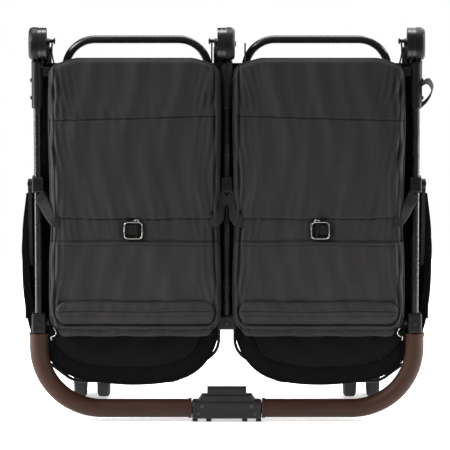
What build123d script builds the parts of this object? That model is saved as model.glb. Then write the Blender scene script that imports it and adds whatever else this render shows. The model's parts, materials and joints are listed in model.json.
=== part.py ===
"""Side-by-side twin stroller in its folded, standing pose.

Millimetres, +Z up, +X to the right, and -Y towards the stroller's front.  The folded stroller stands on
the middle of its handlebar and on its two front casters.  Every piece is drawn with the hub axis over
y = 0 and is moved at the end, so that the origin is on the floor under the middle of the folded box.
"""
from build123d import *
import math
import os

# ---- driving sizes --------------------------------------------------------------------------------
HUB_Z = 716.0                # height of the hub axis that every frame part folds about
HUB_R = 31.0
HUB_GAP = 0.5                # side play between two discs of one hub
PUSH_X = 354.5               # side push tubes, each side of the middle
PUSH_TUBE_W = 14.0           # oval push tube: width along X
PUSH_TUBE_D = 26.0           # and depth along Y
PUSH_WALL = 1.6
PUSH_DISC_T = 16.0           # push half of a hub
HUB_ROUND = 8.0              # rounding of its outer rim
EYE_T = 7.8                  # each leg's plate in a hub
LEG_W = 15.0
LEG_D = 22.0
LEG_WALL = 1.8
SLEEVE_W = 21.0
SLEEVE_D = PUSH_TUBE_D + 6.0
SLEEVE_LENGTH = 88.0
SLEEVE_TOP_GAP = 1.5         # sleeve under the hub discs
FIT = 0.1                    # clearance between two pieces that are pushed together
RUNNING = 0.05               # radial clearance of a pin in its bore
HUB_PIN_R = 6.0

FLOOR_TO_GRIP = 6.2          # lowest line of the grips above the floor
GRIP_R = 17.5
GRIP_CORNER_R = 118.0
GRIP_TOP_Z = 168.0
HANDLE_TUBE_R = 11.0
CONNECTOR_HALF = 66.0
SOCKET_D = PUSH_TUBE_D + 8.0
CONNECTOR_D = 38.0
CONNECTOR_TOP = FLOOR_TO_GRIP + GRIP_R + 15.3
HOUSING_TOP = CONNECTOR_TOP + 10.4
TRIGGER_TRAVEL = 8.0
TRIGGER_W = 74.0
TRIGGER_D = 24.0
TRIGGER_SKIRT = 1.8          # depth of the trigger inside its pocket at rest

COLLAR_Z = 452.0             # height of the canopy pivots
COLLAR_H = 30.0
COLLAR_W = 22.0
COLLAR_D = PUSH_TUBE_D + 8.0
CANOPY_ARM_T = 7.0
CANOPY_ARM_W = 15.0
CANOPY_ARM_LENGTH = 236.0
CANOPY_DROP = 394.0          # canopy pivot to the crown of the bow
CANOPY_HALF_W = PUSH_X + 31.5  # widest fabric line from the middle
CANOPY_INNER = 11.0
BOW_WIRE_R = 3.0
CANOPY_Y = (GRIP_R + 2.5, GRIP_R + 13.5)
CANOPY_ARM_GAP = 0.045       # from the folded cloth to the arm's front edge, at its end

BACK_X = (20.5, PUSH_X - 24.5)  # backrest, inner and outer edge
BACK_Y = (-25.0, -5.0)
BACK_Z = (190.0, HUB_Z - 32.0)
HARNESS_X = 62.0             # shoulder straps, each side of the backrest's middle
HARNESS_Z = (BACK_Z[1] - 384.0, BACK_Z[1] - 124.0)
HARNESS_BUCKLE = 44.0
BUCKLE_W = 36.0
BUCKLE_H = 34.0
BUCKLE_RIM = 4.0
BUCKLE_BAR = 3.5
CHANNEL_Z = 368.0            # height of the recline webbing across the backrest

SEAT_RAIL_R = 7.5
SEAT_X = (LEG_W + 20.0, PUSH_X - 52.5)  # rail centre lines
SEAT_Y = 30.0
SEAT_TOP_Z = HUB_Z + 5.0     # centre line of the rear loop
SEAT_FRONT_Z = 375.0         # centre line of the front bar
SEAT_CORNER_R = 55.0
SEAT_PIVOT_Z = HUB_Z - 76.0
SEAT_PIVOT_R = 8.0
CALF_LENGTH = 140.0

REAR_AXLE = (257.0, 270.0)   # y, z of the rear axle
REAR_WHEEL_R = 84.0
REAR_WHEEL_W = 34.0
REAR_TYRE_T = 20.0
REAR_AXLE_R = 9.0
STUB_R = 6.0
FRONT_CROSS_R = 11.0
CASTER_X = PUSH_X - 92.5
CASTER_TILT = 69.2           # swivel axis, degrees from upright while folded
CASTER_FROM_CROSS = (7.0, -28.0)
CASTER_TRAIL = 30.0
CASTER_HOUSING_R = 17.0
CASTER_HOUSING_Z = (-17.0, 22.0)  # ends of the housing along the swivel axis
CASTER_STEM_R = 7.0
FRONT_WHEEL_R = 75.0
CASTER_DROP = FRONT_WHEEL_R + 20.0
FRONT_CROSS_Y = 158.0        # the front cross tube; its height stands the wheels on the floor
WHEEL_OFF_FLOOR = 0.2201
FRONT_WHEEL_W = 24.0
FRONT_TYRE_T = 17.0
FORK_W = 18.0
AXLE_R = 5.0
WHEEL_GAP = 3.0              # wheel from the nearest frame piece

BASKET_Y = (157.0, 189.0)
BASKET_Z = (235.0, 365.0)
BASKET_HALF_W = PUSH_X - 54.5
BASKET_WALL = 2.5

# ---- places worked out from them ------------------------------------------------------------------
HUB_OUT = PUSH_X + 15.0                                  # outer face of a side hub
FRONT_EYE_OUT = HUB_OUT - PUSH_DISC_T - HUB_GAP
REAR_EYE_OUT = FRONT_EYE_OUT - EYE_T - HUB_GAP
HUB_IN = REAR_EYE_OUT - EYE_T                            # inner face of a side hub
CENTRE_SHIFT = -PUSH_X                                   # the centre hub is layered like a side hub
SLEEVE_TOP = HUB_Z - HUB_R - SLEEVE_TOP_GAP
SLEEVE_BOTTOM = SLEEVE_TOP - SLEEVE_LENGTH
REAR_SLOPE = (REAR_AXLE[0] - 40.0) / (HUB_Z - 21.0 - REAR_AXLE[1])
FRONT_KNEE = (PUSH_TUBE_D / 2 + LEG_D / 2 + 5.0, HUB_Z - 16.0)
REAR_KNEE = (40.0, HUB_Z - 21.0)
SEAT_PIVOT_Y = REAR_KNEE[0] + REAR_SLOPE * (REAR_KNEE[1] - SEAT_PIVOT_Z)
CANOPY_ARM_Y = CANOPY_Y[1] + CANOPY_ARM_GAP + CANOPY_ARM_W / 2
CANOPY_TILT = math.degrees(math.asin(CANOPY_ARM_Y / CANOPY_ARM_LENGTH))  # folded front bow
CASTER_LEAN = math.radians(CASTER_TILT)
CASTER_AXLE_DROP = CASTER_DROP * math.cos(CASTER_LEAN) + CASTER_TRAIL * math.sin(CASTER_LEAN)
FRONT_CROSS_Z = WHEEL_OFF_FLOOR + FRONT_WHEEL_R + CASTER_AXLE_DROP - CASTER_FROM_CROSS[1]
FRONT_CROSS = (FRONT_CROSS_Y, FRONT_CROSS_Z)
REAR_WHEEL_X = REAR_EYE_OUT + WHEEL_GAP + REAR_WHEEL_W / 2
GRIP_Z = FLOOR_TO_GRIP + GRIP_R
SOCKET_TOP = GRIP_TOP_Z + 40.0
ORIGIN_SHIFT = (HUB_R - (REAR_AXLE[0] + REAR_WHEEL_R)) / 2


# ---- small helpers --------------------------------------------------------------------------------
def block(x, y, z, radius=0.0):
    """A box between two corners, given as (low, high) pairs, with rounded edges."""
    solid = Pos(sum(x) / 2, sum(y) / 2, sum(z) / 2) * Box(x[1] - x[0], y[1] - y[0], z[1] - z[0])
    if radius:
        solid = fillet(solid.edges(), radius)
    return solid


def rod(x, y, z, radius):
    """A round bar along X, from x[0] to x[1]."""
    return Pos((x[0] + x[1]) / 2, y, z) * Rot(Y=90) * Cylinder(radius, x[1] - x[0])


def ring(x, y, z, outer, inner):
    """A bush or wheel part along X."""
    return rod(x, y, z, outer) - rod((x[0] - 1, x[1] + 1), y, z, inner)


def mirrored(shape):
    return mirror(shape, about=Plane.YZ)


def both(shape):
    """A piece and its mirror image, as two solids of one node."""
    return Compound([*shape.solids(), *mirrored(shape).solids()])


def group(*shapes):
    return Compound([solid for shape in shapes for solid in shape.solids()])


def strip(points, width, x):
    """A flat bar that follows points in the Y-Z plane, with round ends, from x[0] to x[1]."""
    plane = Plane(origin=(x[0], 0, 0), x_dir=(0, 1, 0), z_dir=(1, 0, 0))
    shape = None
    for (y0, z0), (y1, z1) in zip(points, points[1:]):
        run = math.dist((y0, z0), (y1, z1))
        turn = math.degrees(math.atan2(z1 - z0, y1 - y0))
        slot = Pos((y0 + y1) / 2, (z0 + z1) / 2) * Rot(0, 0, turn) * SlotCenterToCenter(run, width)
        shape = slot if shape is None else shape + slot
    return extrude(plane * shape, x[1] - x[0])


def oval_tube(x, z, width, depth, wall, grow=0.0):
    """An upright oval tube centred on x; a wall of 0 leaves it solid."""
    outer = SlotOverall(depth + 2 * grow, width + 2 * grow, rotation=90)
    sketch = outer
    if wall:
        sketch = outer - SlotOverall(depth - 2 * wall, width - 2 * wall, rotation=90)
    return Pos(x, 0, z[0]) * extrude(sketch, z[1] - z[0])


def bar_along(points, radius, corner):
    """A round bar along a path of straight runs joined by arcs."""
    path = FilletPolyline(*points, radius=corner)
    start = Plane(origin=path @ 0, z_dir=path % 0)
    return sweep(start * Circle(radius), path=path)


# ---- rear frame -----------------------------------------------------------------------------------
def leg(eye, body, knee, foot, clear_r):
    """One leg: a thin plate in the hub, a knee behind the hub, then a deep tube to its foot."""
    hub = (0.0, HUB_Z)
    plate = strip([hub, knee], LEG_D, eye)
    plate += rod(eye, 0, HUB_Z, HUB_R - 1)
    tube = strip([knee, foot], LEG_D, body)
    run = math.dist(knee, foot)
    turn = math.degrees(math.atan2(foot[1] - knee[1], foot[0] - knee[0]))
    middle = Pos(sum(body) / 2, (knee[0] + foot[0]) / 2, (knee[1] + foot[1]) / 2) * Rot(X=turn)
    bore = Box(LEG_W - 2 * LEG_WALL, run - 60.0, LEG_D - 2 * LEG_WALL)
    tube -= middle * bore
    tube -= rod((body[0] - 1, eye[0]), 0, HUB_Z, clear_r)
    tube -= rod((eye[1], body[1] + 1), 0, HUB_Z, clear_r)
    return plate + tube - rod((eye[0] - 1, eye[1] + 1), 0, HUB_Z, HUB_PIN_R + RUNNING)


def rear_leg(shift=0.0):
    eye = (HUB_IN + shift, REAR_EYE_OUT + shift)
    body = (REAR_EYE_OUT - LEG_W + shift, REAR_EYE_OUT + shift)
    solid = leg(eye, body, REAR_KNEE, REAR_AXLE, HUB_R + 5)
    solid -= rod((body[0] - 1, body[1] + 1), *REAR_AXLE, REAR_AXLE_R + FIT)
    return solid - rod((body[0] - 1, body[1] + 1), SEAT_PIVOT_Y, SEAT_PIVOT_Z, SEAT_PIVOT_R + FIT)


def front_leg(shift=0.0):
    eye = (FRONT_EYE_OUT - EYE_T + shift, FRONT_EYE_OUT + shift)
    body = (FRONT_EYE_OUT - EYE_T + shift, FRONT_EYE_OUT - EYE_T + LEG_W + shift)
    solid = leg(eye, body, FRONT_KNEE, FRONT_CROSS, HUB_R + 5)
    return solid - rod((body[0] - 1, body[1] + 1), *FRONT_CROSS, FRONT_CROSS_R + FIT)


def rear_axle_tube():
    half = REAR_EYE_OUT
    tube = rod((-half, half), *REAR_AXLE, REAR_AXLE_R)
    for side in (-1, 1):
        ends = sorted((side * (half - 40.0), side * (half + 1)))
        tube -= rod(ends, *REAR_AXLE, STUB_R + FIT)
    return tube


def rear_stubs():
    stub = rod((REAR_EYE_OUT - 38.0, REAR_WHEEL_X + REAR_WHEEL_W / 2 + 2.0), *REAR_AXLE, STUB_R)
    return both(stub)


def rear_end_collars():
    """The plastic shoulder between each rear leg and its wheel."""
    return both(ring((REAR_EYE_OUT + 0.2, REAR_EYE_OUT + WHEEL_GAP - 0.6), *REAR_AXLE, 16.0, STUB_R + FIT))


def seat_cross_tube():
    tube = rod((-REAR_EYE_OUT, REAR_EYE_OUT), SEAT_PIVOT_Y, SEAT_PIVOT_Z, SEAT_PIVOT_R)
    return tube - rod((-REAR_EYE_OUT - 1, REAR_EYE_OUT + 1), SEAT_PIVOT_Y, SEAT_PIVOT_Z, SEAT_PIVOT_R - 1.6)


def basket():
    x = (-BASKET_HALF_W, BASKET_HALF_W)
    outer = fillet(block(x, BASKET_Y, BASKET_Z).edges().filter_by(Axis.Z), 12.0)
    inner_y = (BASKET_Y[0] + BASKET_WALL, BASKET_Y[1] - BASKET_WALL)
    inner_z = (BASKET_Z[0] + BASKET_WALL, BASKET_Z[1] + 1)
    inner = block((x[0] + BASKET_WALL, x[1] - BASKET_WALL), inner_y, inner_z)
    return outer - fillet(inner.edges().filter_by(Axis.Z), 12.0 - BASKET_WALL)


def wheel_tyre(x, centre, radius, thickness):
    tyre = ring(x, *centre, radius, radius - thickness)
    outer = [edge for edge in tyre.edges().filter_by(GeomType.CIRCLE) if edge.radius > radius - 1]
    return fillet(outer, min(thickness, (x[1] - x[0]) / 2) * 0.55)


def wheel_rim(x, centre, radius, bore):
    """Rim, hub and five spokes."""
    middle = sum(x) / 2
    rim = ring((x[0] + 2, x[1] - 2), *centre, radius - 0.2, radius - 8.0)
    rim += rod((x[0], x[1]), *centre, radius * 0.26)
    spoke = Pos(0, 0, radius * 0.53) * Box((x[1] - x[0]) * 0.5, radius * 0.2, radius * 0.84)
    for step in range(5):
        rim += Pos(middle, *centre) * Rot(X=72.0 * step) * spoke
    return rim - rod((x[0] - 1, x[1] + 1), *centre, bore)


def rear_wheel_span():
    return REAR_WHEEL_X - REAR_WHEEL_W / 2, REAR_WHEEL_X + REAR_WHEEL_W / 2


def rear_tyre():
    return wheel_tyre(rear_wheel_span(), REAR_AXLE, REAR_WHEEL_R, REAR_TYRE_T)


def rear_rim():
    return wheel_rim(rear_wheel_span(), REAR_AXLE, REAR_WHEEL_R - REAR_TYRE_T, STUB_R + RUNNING)


def brake_pedal():
    """A foot bar that turns on the rear axle tube."""
    x = (70.0, 132.0)
    sleeve = rod(x, *REAR_AXLE, REAR_AXLE_R + 5.0)
    y = (REAR_AXLE[0] + 4.0, REAR_AXLE[0] + 68.0)
    plate = block(x, y, (REAR_AXLE[1] + 2.0, REAR_AXLE[1] + 10.0), 2.5)
    tread = block((x[0] - 4.0, x[1] + 4.0), (y[1] - 24.0, y[1]), (REAR_AXLE[1], REAR_AXLE[1] + 13.0), 4.0)
    return sleeve + plate + tread - rod((x[0] - 1, x[1] + 1), *REAR_AXLE, REAR_AXLE_R + RUNNING)


# ---- front frame and casters ----------------------------------------------------------------------
def front_cross_tube():
    half = FRONT_EYE_OUT - EYE_T + LEG_W
    tube = rod((-half, half), *FRONT_CROSS, FRONT_CROSS_R)
    return tube - rod((-half - 1, half + 1), *FRONT_CROSS, FRONT_CROSS_R - LEG_WALL)


def caster_place(x=0.0):
    """The caster's own frame: swivel axis along Z, wheels below, turned into its folded place."""
    y = FRONT_CROSS[0] + CASTER_FROM_CROSS[0]
    z = FRONT_CROSS[1] + CASTER_FROM_CROSS[1]
    return Pos(x, y, z) * Rot(X=CASTER_TILT)


def caster_housing(x):
    place = caster_place(x)
    low, high = CASTER_HOUSING_Z
    body = place * Pos(0, 0, (low + high) / 2) * Cylinder(CASTER_HOUSING_R, high - low)
    saddle = rod((x - 21.0, x + 21.0), *FRONT_CROSS, FRONT_CROSS_R + 6.0)
    start = (FRONT_CROSS[0], FRONT_CROSS[1])
    end = (start[0] + CASTER_FROM_CROSS[0], start[1] + CASTER_FROM_CROSS[1])
    body += saddle + strip([start, end], 26.0, (x - 15.0, x + 15.0))
    body -= rod((x - 40.0, x + 40.0), *FRONT_CROSS, FRONT_CROSS_R + FIT)
    return body - place * Pos(0, 0, low) * Cylinder(CASTER_STEM_R + RUNNING, 2 * (high - low) - 10.0)


def caster_fork(x):
    """Stem and the single arm between two wheels, with their axle."""
    low, high = CASTER_HOUSING_Z
    width = 26.0
    top = low - 1.5 - width / 2
    stem = Pos(0, 0, (top + high - 7.0) / 2) * Cylinder(CASTER_STEM_R, high - 7.0 - top)
    arm = strip([(0.0, top), (-CASTER_TRAIL, -CASTER_DROP)], width, (-FORK_W / 2, FORK_W / 2))
    half = FORK_W / 2 + 1.5 + FRONT_WHEEL_W + 1.5
    axle = rod((-half, half), -CASTER_TRAIL, -CASTER_DROP, AXLE_R)
    return caster_place(x) * (stem + arm + axle)


def caster_axle():
    """y, z of the front wheels' axle while folded."""
    spot = caster_place() * Pos(0, -CASTER_TRAIL, -CASTER_DROP)
    return spot.position.Y, spot.position.Z


def front_wheel_spans(x):
    near = FORK_W / 2 + 1.5
    return (x - near - FRONT_WHEEL_W, x - near), (x + near, x + near + FRONT_WHEEL_W)


def front_tyres(x):
    spans = front_wheel_spans(x)
    return group(*[wheel_tyre(span, caster_axle(), FRONT_WHEEL_R, FRONT_TYRE_T) for span in spans])


def front_rims(x):
    spans = front_wheel_spans(x)
    inner = FRONT_WHEEL_R - FRONT_TYRE_T
    return group(*[wheel_rim(span, caster_axle(), inner, AXLE_R + RUNNING) for span in spans])


# ---- push frame -----------------------------------------------------------------------------------
def push_tube(x, bottom):
    return oval_tube(x, (bottom, SLEEVE_TOP - 18.0), PUSH_TUBE_W, PUSH_TUBE_D, PUSH_WALL)


def push_hub(x):
    """The push half of a hub at x: a domed disc with a tongue that drops into the sleeve."""
    face = (HUB_OUT - PUSH_DISC_T - PUSH_X + x, HUB_OUT - PUSH_X + x)
    disc = rod(face, 0, HUB_Z, HUB_R)
    rim = [edge for edge in disc.edges().filter_by(GeomType.CIRCLE) if edge.center().X > face[1] - 0.1]
    disc = fillet(rim, HUB_ROUND)
    disc += block((face[0], x + PUSH_TUBE_W / 2), (-6.0, 6.0), (SLEEVE_TOP - 17.0, HUB_Z))
    return disc - rod((face[0] - 1, face[1] - 4.0), 0, HUB_Z, HUB_PIN_R + FIT)


def hub_pin(x, inner):
    """Hub pin at x; its inner end is a washer that carries the peg for the elastic loop."""
    outer = HUB_OUT - PUSH_X + x - 4.0
    pin = rod((inner - 0.5, outer), 0, HUB_Z, HUB_PIN_R)
    pin += rod((inner - 6.0, inner - 0.5), 0, HUB_Z, 10.0)
    pin += rod((inner - 14.0, inner - 5.5), 0, HUB_Z + 5.0, 3.6)
    return pin + rod((inner - 16.5, inner - 13.5), 0, HUB_Z + 5.0, 5.5)


def hub_pins():
    centre = hub_pin(0.0, HUB_IN - PUSH_X)
    centre += rod((15.5, 17.5), 0, HUB_Z, 5.0)
    return group(both(hub_pin(PUSH_X, HUB_IN)), centre)


def push_sleeve(x):
    span = (SLEEVE_BOTTOM, SLEEVE_TOP)
    sleeve = oval_tube(x, span, SLEEVE_W, SLEEVE_D, 0)
    sleeve = fillet(sleeve.faces().sort_by(Axis.Z)[0].edges(), 1.5)
    return sleeve - oval_tube(x, (span[0] - 1, span[1] + 1), PUSH_TUBE_W, PUSH_TUBE_D, 0, FIT)


def rivet(x0, x1, y, z, radius=3.6):
    head = rod(sorted((x0, x1)), y, z, radius)
    far = max if x1 > x0 else min
    edges = head.edges().filter_by(GeomType.CIRCLE)
    tip = far(edges, key=lambda edge: edge.center().X)
    return fillet(tip, 1.4)


def frame_screws():
    """Rivet heads on the sleeves and screws on the collars, sockets and connector."""
    heads = []
    for z in (SLEEVE_TOP - 36.0, SLEEVE_TOP - 69.0):
        edge = SLEEVE_W / 2
        heads.append(both(rivet(PUSH_X + edge, PUSH_X + edge + 3.0, 0, z)))
        heads.append(rivet(edge, edge + 3.0, 0, z))
        heads.append(rivet(-edge, -edge - 3.0, 0, z))
    front = Rot(X=90)
    for x in (-47.0, 47.0):
        heads.append(Pos(x, -CONNECTOR_D / 2 - 0.6, 30.0) * front * Cylinder(3.4, 1.2))
        heads.append(Pos(x * 1.15, -CONNECTOR_D / 2 - 0.6, 15.0) * front * Cylinder(2.6, 1.2))
    for x in (-PUSH_X, 0.0, PUSH_X):
        heads.append(Pos(x, -SOCKET_D / 2 - 1.0, SOCKET_TOP - 20.0) * front * Cylinder(3.4, 1.8))
        heads.append(Pos(x, -COLLAR_D / 2 - 0.7, COLLAR_Z) * front * Cylinder(3.0, 1.4))
    return group(*heads)


def canopy_collar(x, sides):
    """Plastic collar on a push tube with a pin out of each side that carries a canopy arm."""
    width = (x - COLLAR_W / 2, x + COLLAR_W / 2)
    height = (COLLAR_Z - COLLAR_H / 2, COLLAR_Z + COLLAR_H / 2)
    collar = block(width, (-COLLAR_D / 2, COLLAR_D / 2), height, 4.0)
    collar -= oval_tube(x, (height[0] - 1, height[1] + 1), PUSH_TUBE_W, PUSH_TUBE_D, 0, FIT)
    for side in sides:
        reach = sorted((x + side * (COLLAR_W / 2 - 1.0), x + side * (COLLAR_W / 2 + CANOPY_ARM_T + 1.6)))
        collar += rod(reach, 0, COLLAR_Z, 4.0)
    return collar


def canopy_collars():
    side = canopy_collar(PUSH_X, (1,))
    return group(both(side), canopy_collar(0.0, (-1, 1)))


def handle_sockets():
    """Plastic sockets between the push tubes and the round handle, with their lock knobs."""
    x = (PUSH_X - 13.5, PUSH_X + 13.0)
    z = (GRIP_TOP_Z + FIT, SOCKET_TOP)
    socket = block(x, (-SOCKET_D / 2, SOCKET_D / 2), z, 5.0)
    middle = (z[0] + z[1]) / 2
    socket -= oval_tube(PUSH_X, (middle, z[1] + 1), PUSH_TUBE_W, PUSH_TUBE_D, 0, FIT)
    socket -= Pos(PUSH_X, 0, z[0]) * Cylinder(HANDLE_TUBE_R + FIT, 2 * (middle - z[0] - 1.0))
    knob = fillet(rod((x[0] - 7.0, x[0] - 0.2), 0, middle + 2.0, 9.0).edges(), 1.5)
    return both(group(socket, knob))


def tube_end_block():
    z = (SOCKET_TOP - 32.0, SOCKET_TOP - 4.0)
    cap = block((-18.0, 18.0), (-SOCKET_D / 2, SOCKET_D / 2), z, 5.0)
    return cap - oval_tube(0.0, (z[0] + 8.0, z[1] + 1), PUSH_TUBE_W, PUSH_TUBE_D, 0, FIT)


def handle_path(top, end):
    """Centre line of half the handle: down the side, round the corner and in to the middle."""
    return [(PUSH_X, 0, top), (PUSH_X, 0, GRIP_Z), (end, 0, GRIP_Z)]


def handle_tube():
    top = GRIP_TOP_Z + 17.0
    half = bar_along(handle_path(top, 26.0), HANDLE_TUBE_R, GRIP_CORNER_R)
    half -= bar_along(handle_path(top + 1, 25.0), HANDLE_TUBE_R - 1.6, GRIP_CORNER_R)
    return both(half)


def grip():
    """Padded grip on the right half of the handle, with a rolled rim at each end."""
    end = CONNECTOR_HALF + 0.4
    solid = bar_along(handle_path(GRIP_TOP_Z, end), GRIP_R, GRIP_CORNER_R)
    rims = rod((end, end + 6.0), 0, GRIP_Z, GRIP_R + 1.6)
    rims += Pos(PUSH_X, 0, GRIP_TOP_Z - 2.5) * Cylinder(GRIP_R + 1.0, 5.0)
    solid += rims
    return solid - bar_along(handle_path(GRIP_TOP_Z + 5, end - 5), HANDLE_TUBE_R + FIT, GRIP_CORNER_R)


def handle_connector():
    """Middle of the handle: lower body on four feet, and a housing with the trigger's pocket."""
    half = CONNECTOR_HALF
    body = block((-half, half), (-CONNECTOR_D / 2, CONNECTOR_D / 2), (FLOOR_TO_GRIP - 0.5, CONNECTOR_TOP), 5.0)
    for x in (-60.0, -34.0, 34.0, 60.0):
        body += block((x - 5.0, x + 5.0), (-13.0, 13.0), (0.0, 12.0))
    body -= rod((-half - 1, -24.0), 0, GRIP_Z, HANDLE_TUBE_R + FIT)
    body -= rod((24.0, half + 1), 0, GRIP_Z, HANDLE_TUBE_R + FIT)
    return body - trigger_pocket()


def trigger_pocket():
    side = TRIGGER_W / 2 + 0.5
    depth = TRIGGER_D / 2 + 0.5
    floor = HOUSING_TOP - TRIGGER_SKIRT - TRIGGER_TRAVEL - 0.6
    return block((-side, side), (-depth, depth), (floor, HOUSING_TOP + 1))


def connector_cover():
    outline = Polygon((-54, CONNECTOR_TOP), (54, CONNECTOR_TOP), (47, HOUSING_TOP), (-47, HOUSING_TOP),
                      align=None)
    cover = extrude(Plane.XZ * outline, 16.0, both=True)
    return cover - trigger_pocket()


def fold_trigger():
    side = TRIGGER_W / 2
    top = HOUSING_TOP + 15.0
    trigger = block((-side, side), (-TRIGGER_D / 2, TRIGGER_D / 2), (HOUSING_TOP - TRIGGER_SKIRT, top))
    return fillet(trigger.edges().filter_by(Axis.X).group_by(Axis.Z)[-1], 4.0)


def strap_loops():
    """Elastic loops over the hub pegs, and the webbing carry loop on the right-hand sleeve."""
    loops = []
    peg_z = HUB_Z + 5.0
    low = BACK_Z[1] + 7.0
    for x in (HUB_IN - 10.5, HUB_IN - PUSH_X - 10.5):
        path = [(x, -5.0, low), (x, -5.0, peg_z + 6.0), (x, 5.0, peg_z + 6.0), (x, 5.0, low)]
        loops.append(bar_along(path, 1.1, 4.5))
    left = mirrored(loops[0])
    x = PUSH_X + SLEEVE_W / 2 + 1.0
    top = SLEEVE_TOP - 47.0
    edge = CANOPY_HALF_W - 1.0
    path = FilletPolyline((x, 0, top), (edge - 6.0, 0, top + 5.0), (edge, 0, top - 8.0), (x, 0, top - 32.0),
                          radius=5.0)
    section = Plane(origin=path @ 0, x_dir=(0, 1, 0), z_dir=path % 0) * Rectangle(12.0, 1.6)
    return group(*loops, left, sweep(section, path=path))


# ---- canopies -------------------------------------------------------------------------------------
def canopy_arm_spans():
    outer = PUSH_X + COLLAR_W / 2 + 0.6
    inner = COLLAR_W / 2 + 0.6
    return (outer, outer + CANOPY_ARM_T), (inner, inner + CANOPY_ARM_T)


def bow_points(inset):
    """The bow in its own plane, as (x, distance from the pivot), from the outer to the inner arm."""
    outer, inner = [sum(span) / 2 for span in canopy_arm_spans()]
    start = CANOPY_ARM_LENGTH - 6.0
    low = CANOPY_DROP
    return [(outer - inset, start), (outer - inset, low - 62.0), (outer - 78.0, low), (inner + 82.0, low),
            (inner + inset, low - 62.0), (inner + inset, start)]


def canopy_front_bow():
    """Two flat arms on the collar pins and the wire bow between them, on the right-hand canopy."""
    tilt = Pos(0, 0, COLLAR_Z) * Rot(X=CANOPY_TILT)
    bow = None
    for span in canopy_arm_spans():
        arm = strip([(0.0, 0.0), (0.0, -CANOPY_ARM_LENGTH)], CANOPY_ARM_W, span)
        arm += rod(span, 0, 0, 9.5)
        arm -= rod((span[0] - 1, span[1] + 1), 0, 0, 4.0 + RUNNING)
        bow = arm if bow is None else bow + arm
    wire = bar_along([(x, 0, -s) for x, s in bow_points(0.0)], BOW_WIRE_R, 45.0)
    return tilt * (bow + wire)


def canopy_outline():
    """Front view of the right-hand folded canopy, as (x, z)."""
    low = COLLAR_Z - CANOPY_DROP * math.cos(math.radians(CANOPY_TILT)) + 2.0
    top = BASKET_Z[0] - 20.0
    wide = CANOPY_HALF_W
    return [(CANOPY_INNER, top), (CANOPY_INNER, low + 96.0), (CANOPY_INNER + 74.0, low),
            (wide - 92.0, low), (wide - 14.0, low + 96.0), (wide, top)]


def canopy_fabric():
    """The folded canopy: a flat stack of cloth behind the grips, with a side wing up the outer arm."""
    line = FilletPolyline(*canopy_outline(), radius=[34.0, 60.0, 60.0, 34.0])
    face = make_face([line, Line(line @ 1, line @ 0)])
    depth = CANOPY_Y[1] - CANOPY_Y[0]
    stack = Pos(0, CANOPY_Y[1], 0) * extrude(Plane.XZ * face, depth)
    wing_x = (canopy_arm_spans()[0][1] + 1.2, CANOPY_HALF_W)
    wing = block(wing_x, (4.0, CANOPY_Y[1]), (canopy_outline()[0][1] - 8.0, COLLAR_Z - 50.0), 2.5)
    return stack + wing


# ---- seats ----------------------------------------------------------------------------------------
def backrest():
    panel = block(BACK_X, BACK_Y, BACK_Z, 6.0)
    pin = rod((BACK_X[1] - 2.0, BACK_X[1] + 6.0), -9.0, BACK_Z[1] - 18.0, 3.0)
    return panel + pin


def backrest_brackets():
    """Plates on the push sleeves that carry the backrests' recline pins."""
    z = BACK_Z[1] - 18.0
    face = PUSH_X - SLEEVE_W / 2 - 0.2
    plate = block((BACK_X[1] + 1.5, face), (-15.0, -3.0), (z - 9.0, z + 7.0), 1.5)
    plate -= rod((BACK_X[1], BACK_X[1] + 6.2), -9.0, z, 3.0 + RUNNING)
    return both(plate)


def recline_buckle():
    """Open ladder buckle on the recline webbing, with its middle bar upright across the webbing."""
    x = sum(BACK_X) / 2
    y = (BACK_Y[0] - 5.0, BACK_Y[0] - 0.2)
    z = (CHANNEL_Z - BUCKLE_H / 2, CHANNEL_Z + BUCKLE_H / 2)
    frame = block((x - BUCKLE_W / 2, x + BUCKLE_W / 2), y, z, 1.5)
    edge = x - BUCKLE_W / 2 + BUCKLE_RIM
    bar = x - BUCKLE_W / 6
    for slot in ((edge, bar - BUCKLE_BAR / 2), (bar + BUCKLE_BAR / 2, 2 * x - edge)):
        frame -= block(slot, (y[0] - 1, y[1] + 1), (z[0] + BUCKLE_RIM, z[1] - BUCKLE_RIM))
    return frame


def recline_strap():
    """Webbing end between the backrest's edge and the side push tube."""
    x = (BACK_X[1] + 0.6, PUSH_X - SLEEVE_W / 2 - 0.5)
    strap = block((x[0], x[1]), (-19.0, -17.4), (CHANNEL_Z + 14.0, CHANNEL_Z + 39.0))
    return strap


def harness():
    """Two shoulder straps and a buckle on the child's side of the backrest."""
    y = (BACK_Y[1] + 0.2, BACK_Y[1] + 3.2)
    middle = sum(BACK_X) / 2
    straps = []
    for side in (-1, 1):
        x = middle + side * HARNESS_X
        straps.append(block((x - 19.0, x + 19.0), y, HARNESS_Z))
    half = HARNESS_BUCKLE / 2
    z = (HARNESS_Z[1], HARNESS_Z[1] + HARNESS_BUCKLE)
    buckle = block((middle - half, middle + half), (y[0], y[1] + 8.0), z, 3.0)
    return group(*straps, buckle)


def seat_frame():
    """A closed loop of tube, with two plates back to the seat cross tube."""
    y = SEAT_Y
    low, high = SEAT_X
    middle = (low + high) / 2
    path = Plane.XZ.offset(-y) * Pos(middle, (SEAT_TOP_Z + SEAT_FRONT_Z) / 2) * RectangleRounded(
        high - low, SEAT_TOP_Z - SEAT_FRONT_Z, SEAT_CORNER_R)
    wire = path.wire()
    section = Plane(origin=wire @ 0, z_dir=wire % 0) * Circle(SEAT_RAIL_R)
    frame = sweep(section, path=wire)
    for x in (low, high):
        span = (x - 5.0, x + 5.0)
        frame += strip([(y, SEAT_PIVOT_Z + 6.0), (SEAT_PIVOT_Y, SEAT_PIVOT_Z)], 26.0, span)
    bore = rod((low - 20, high + 20), SEAT_PIVOT_Y, SEAT_PIVOT_Z, SEAT_PIVOT_R + RUNNING)
    return frame - bore


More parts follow.
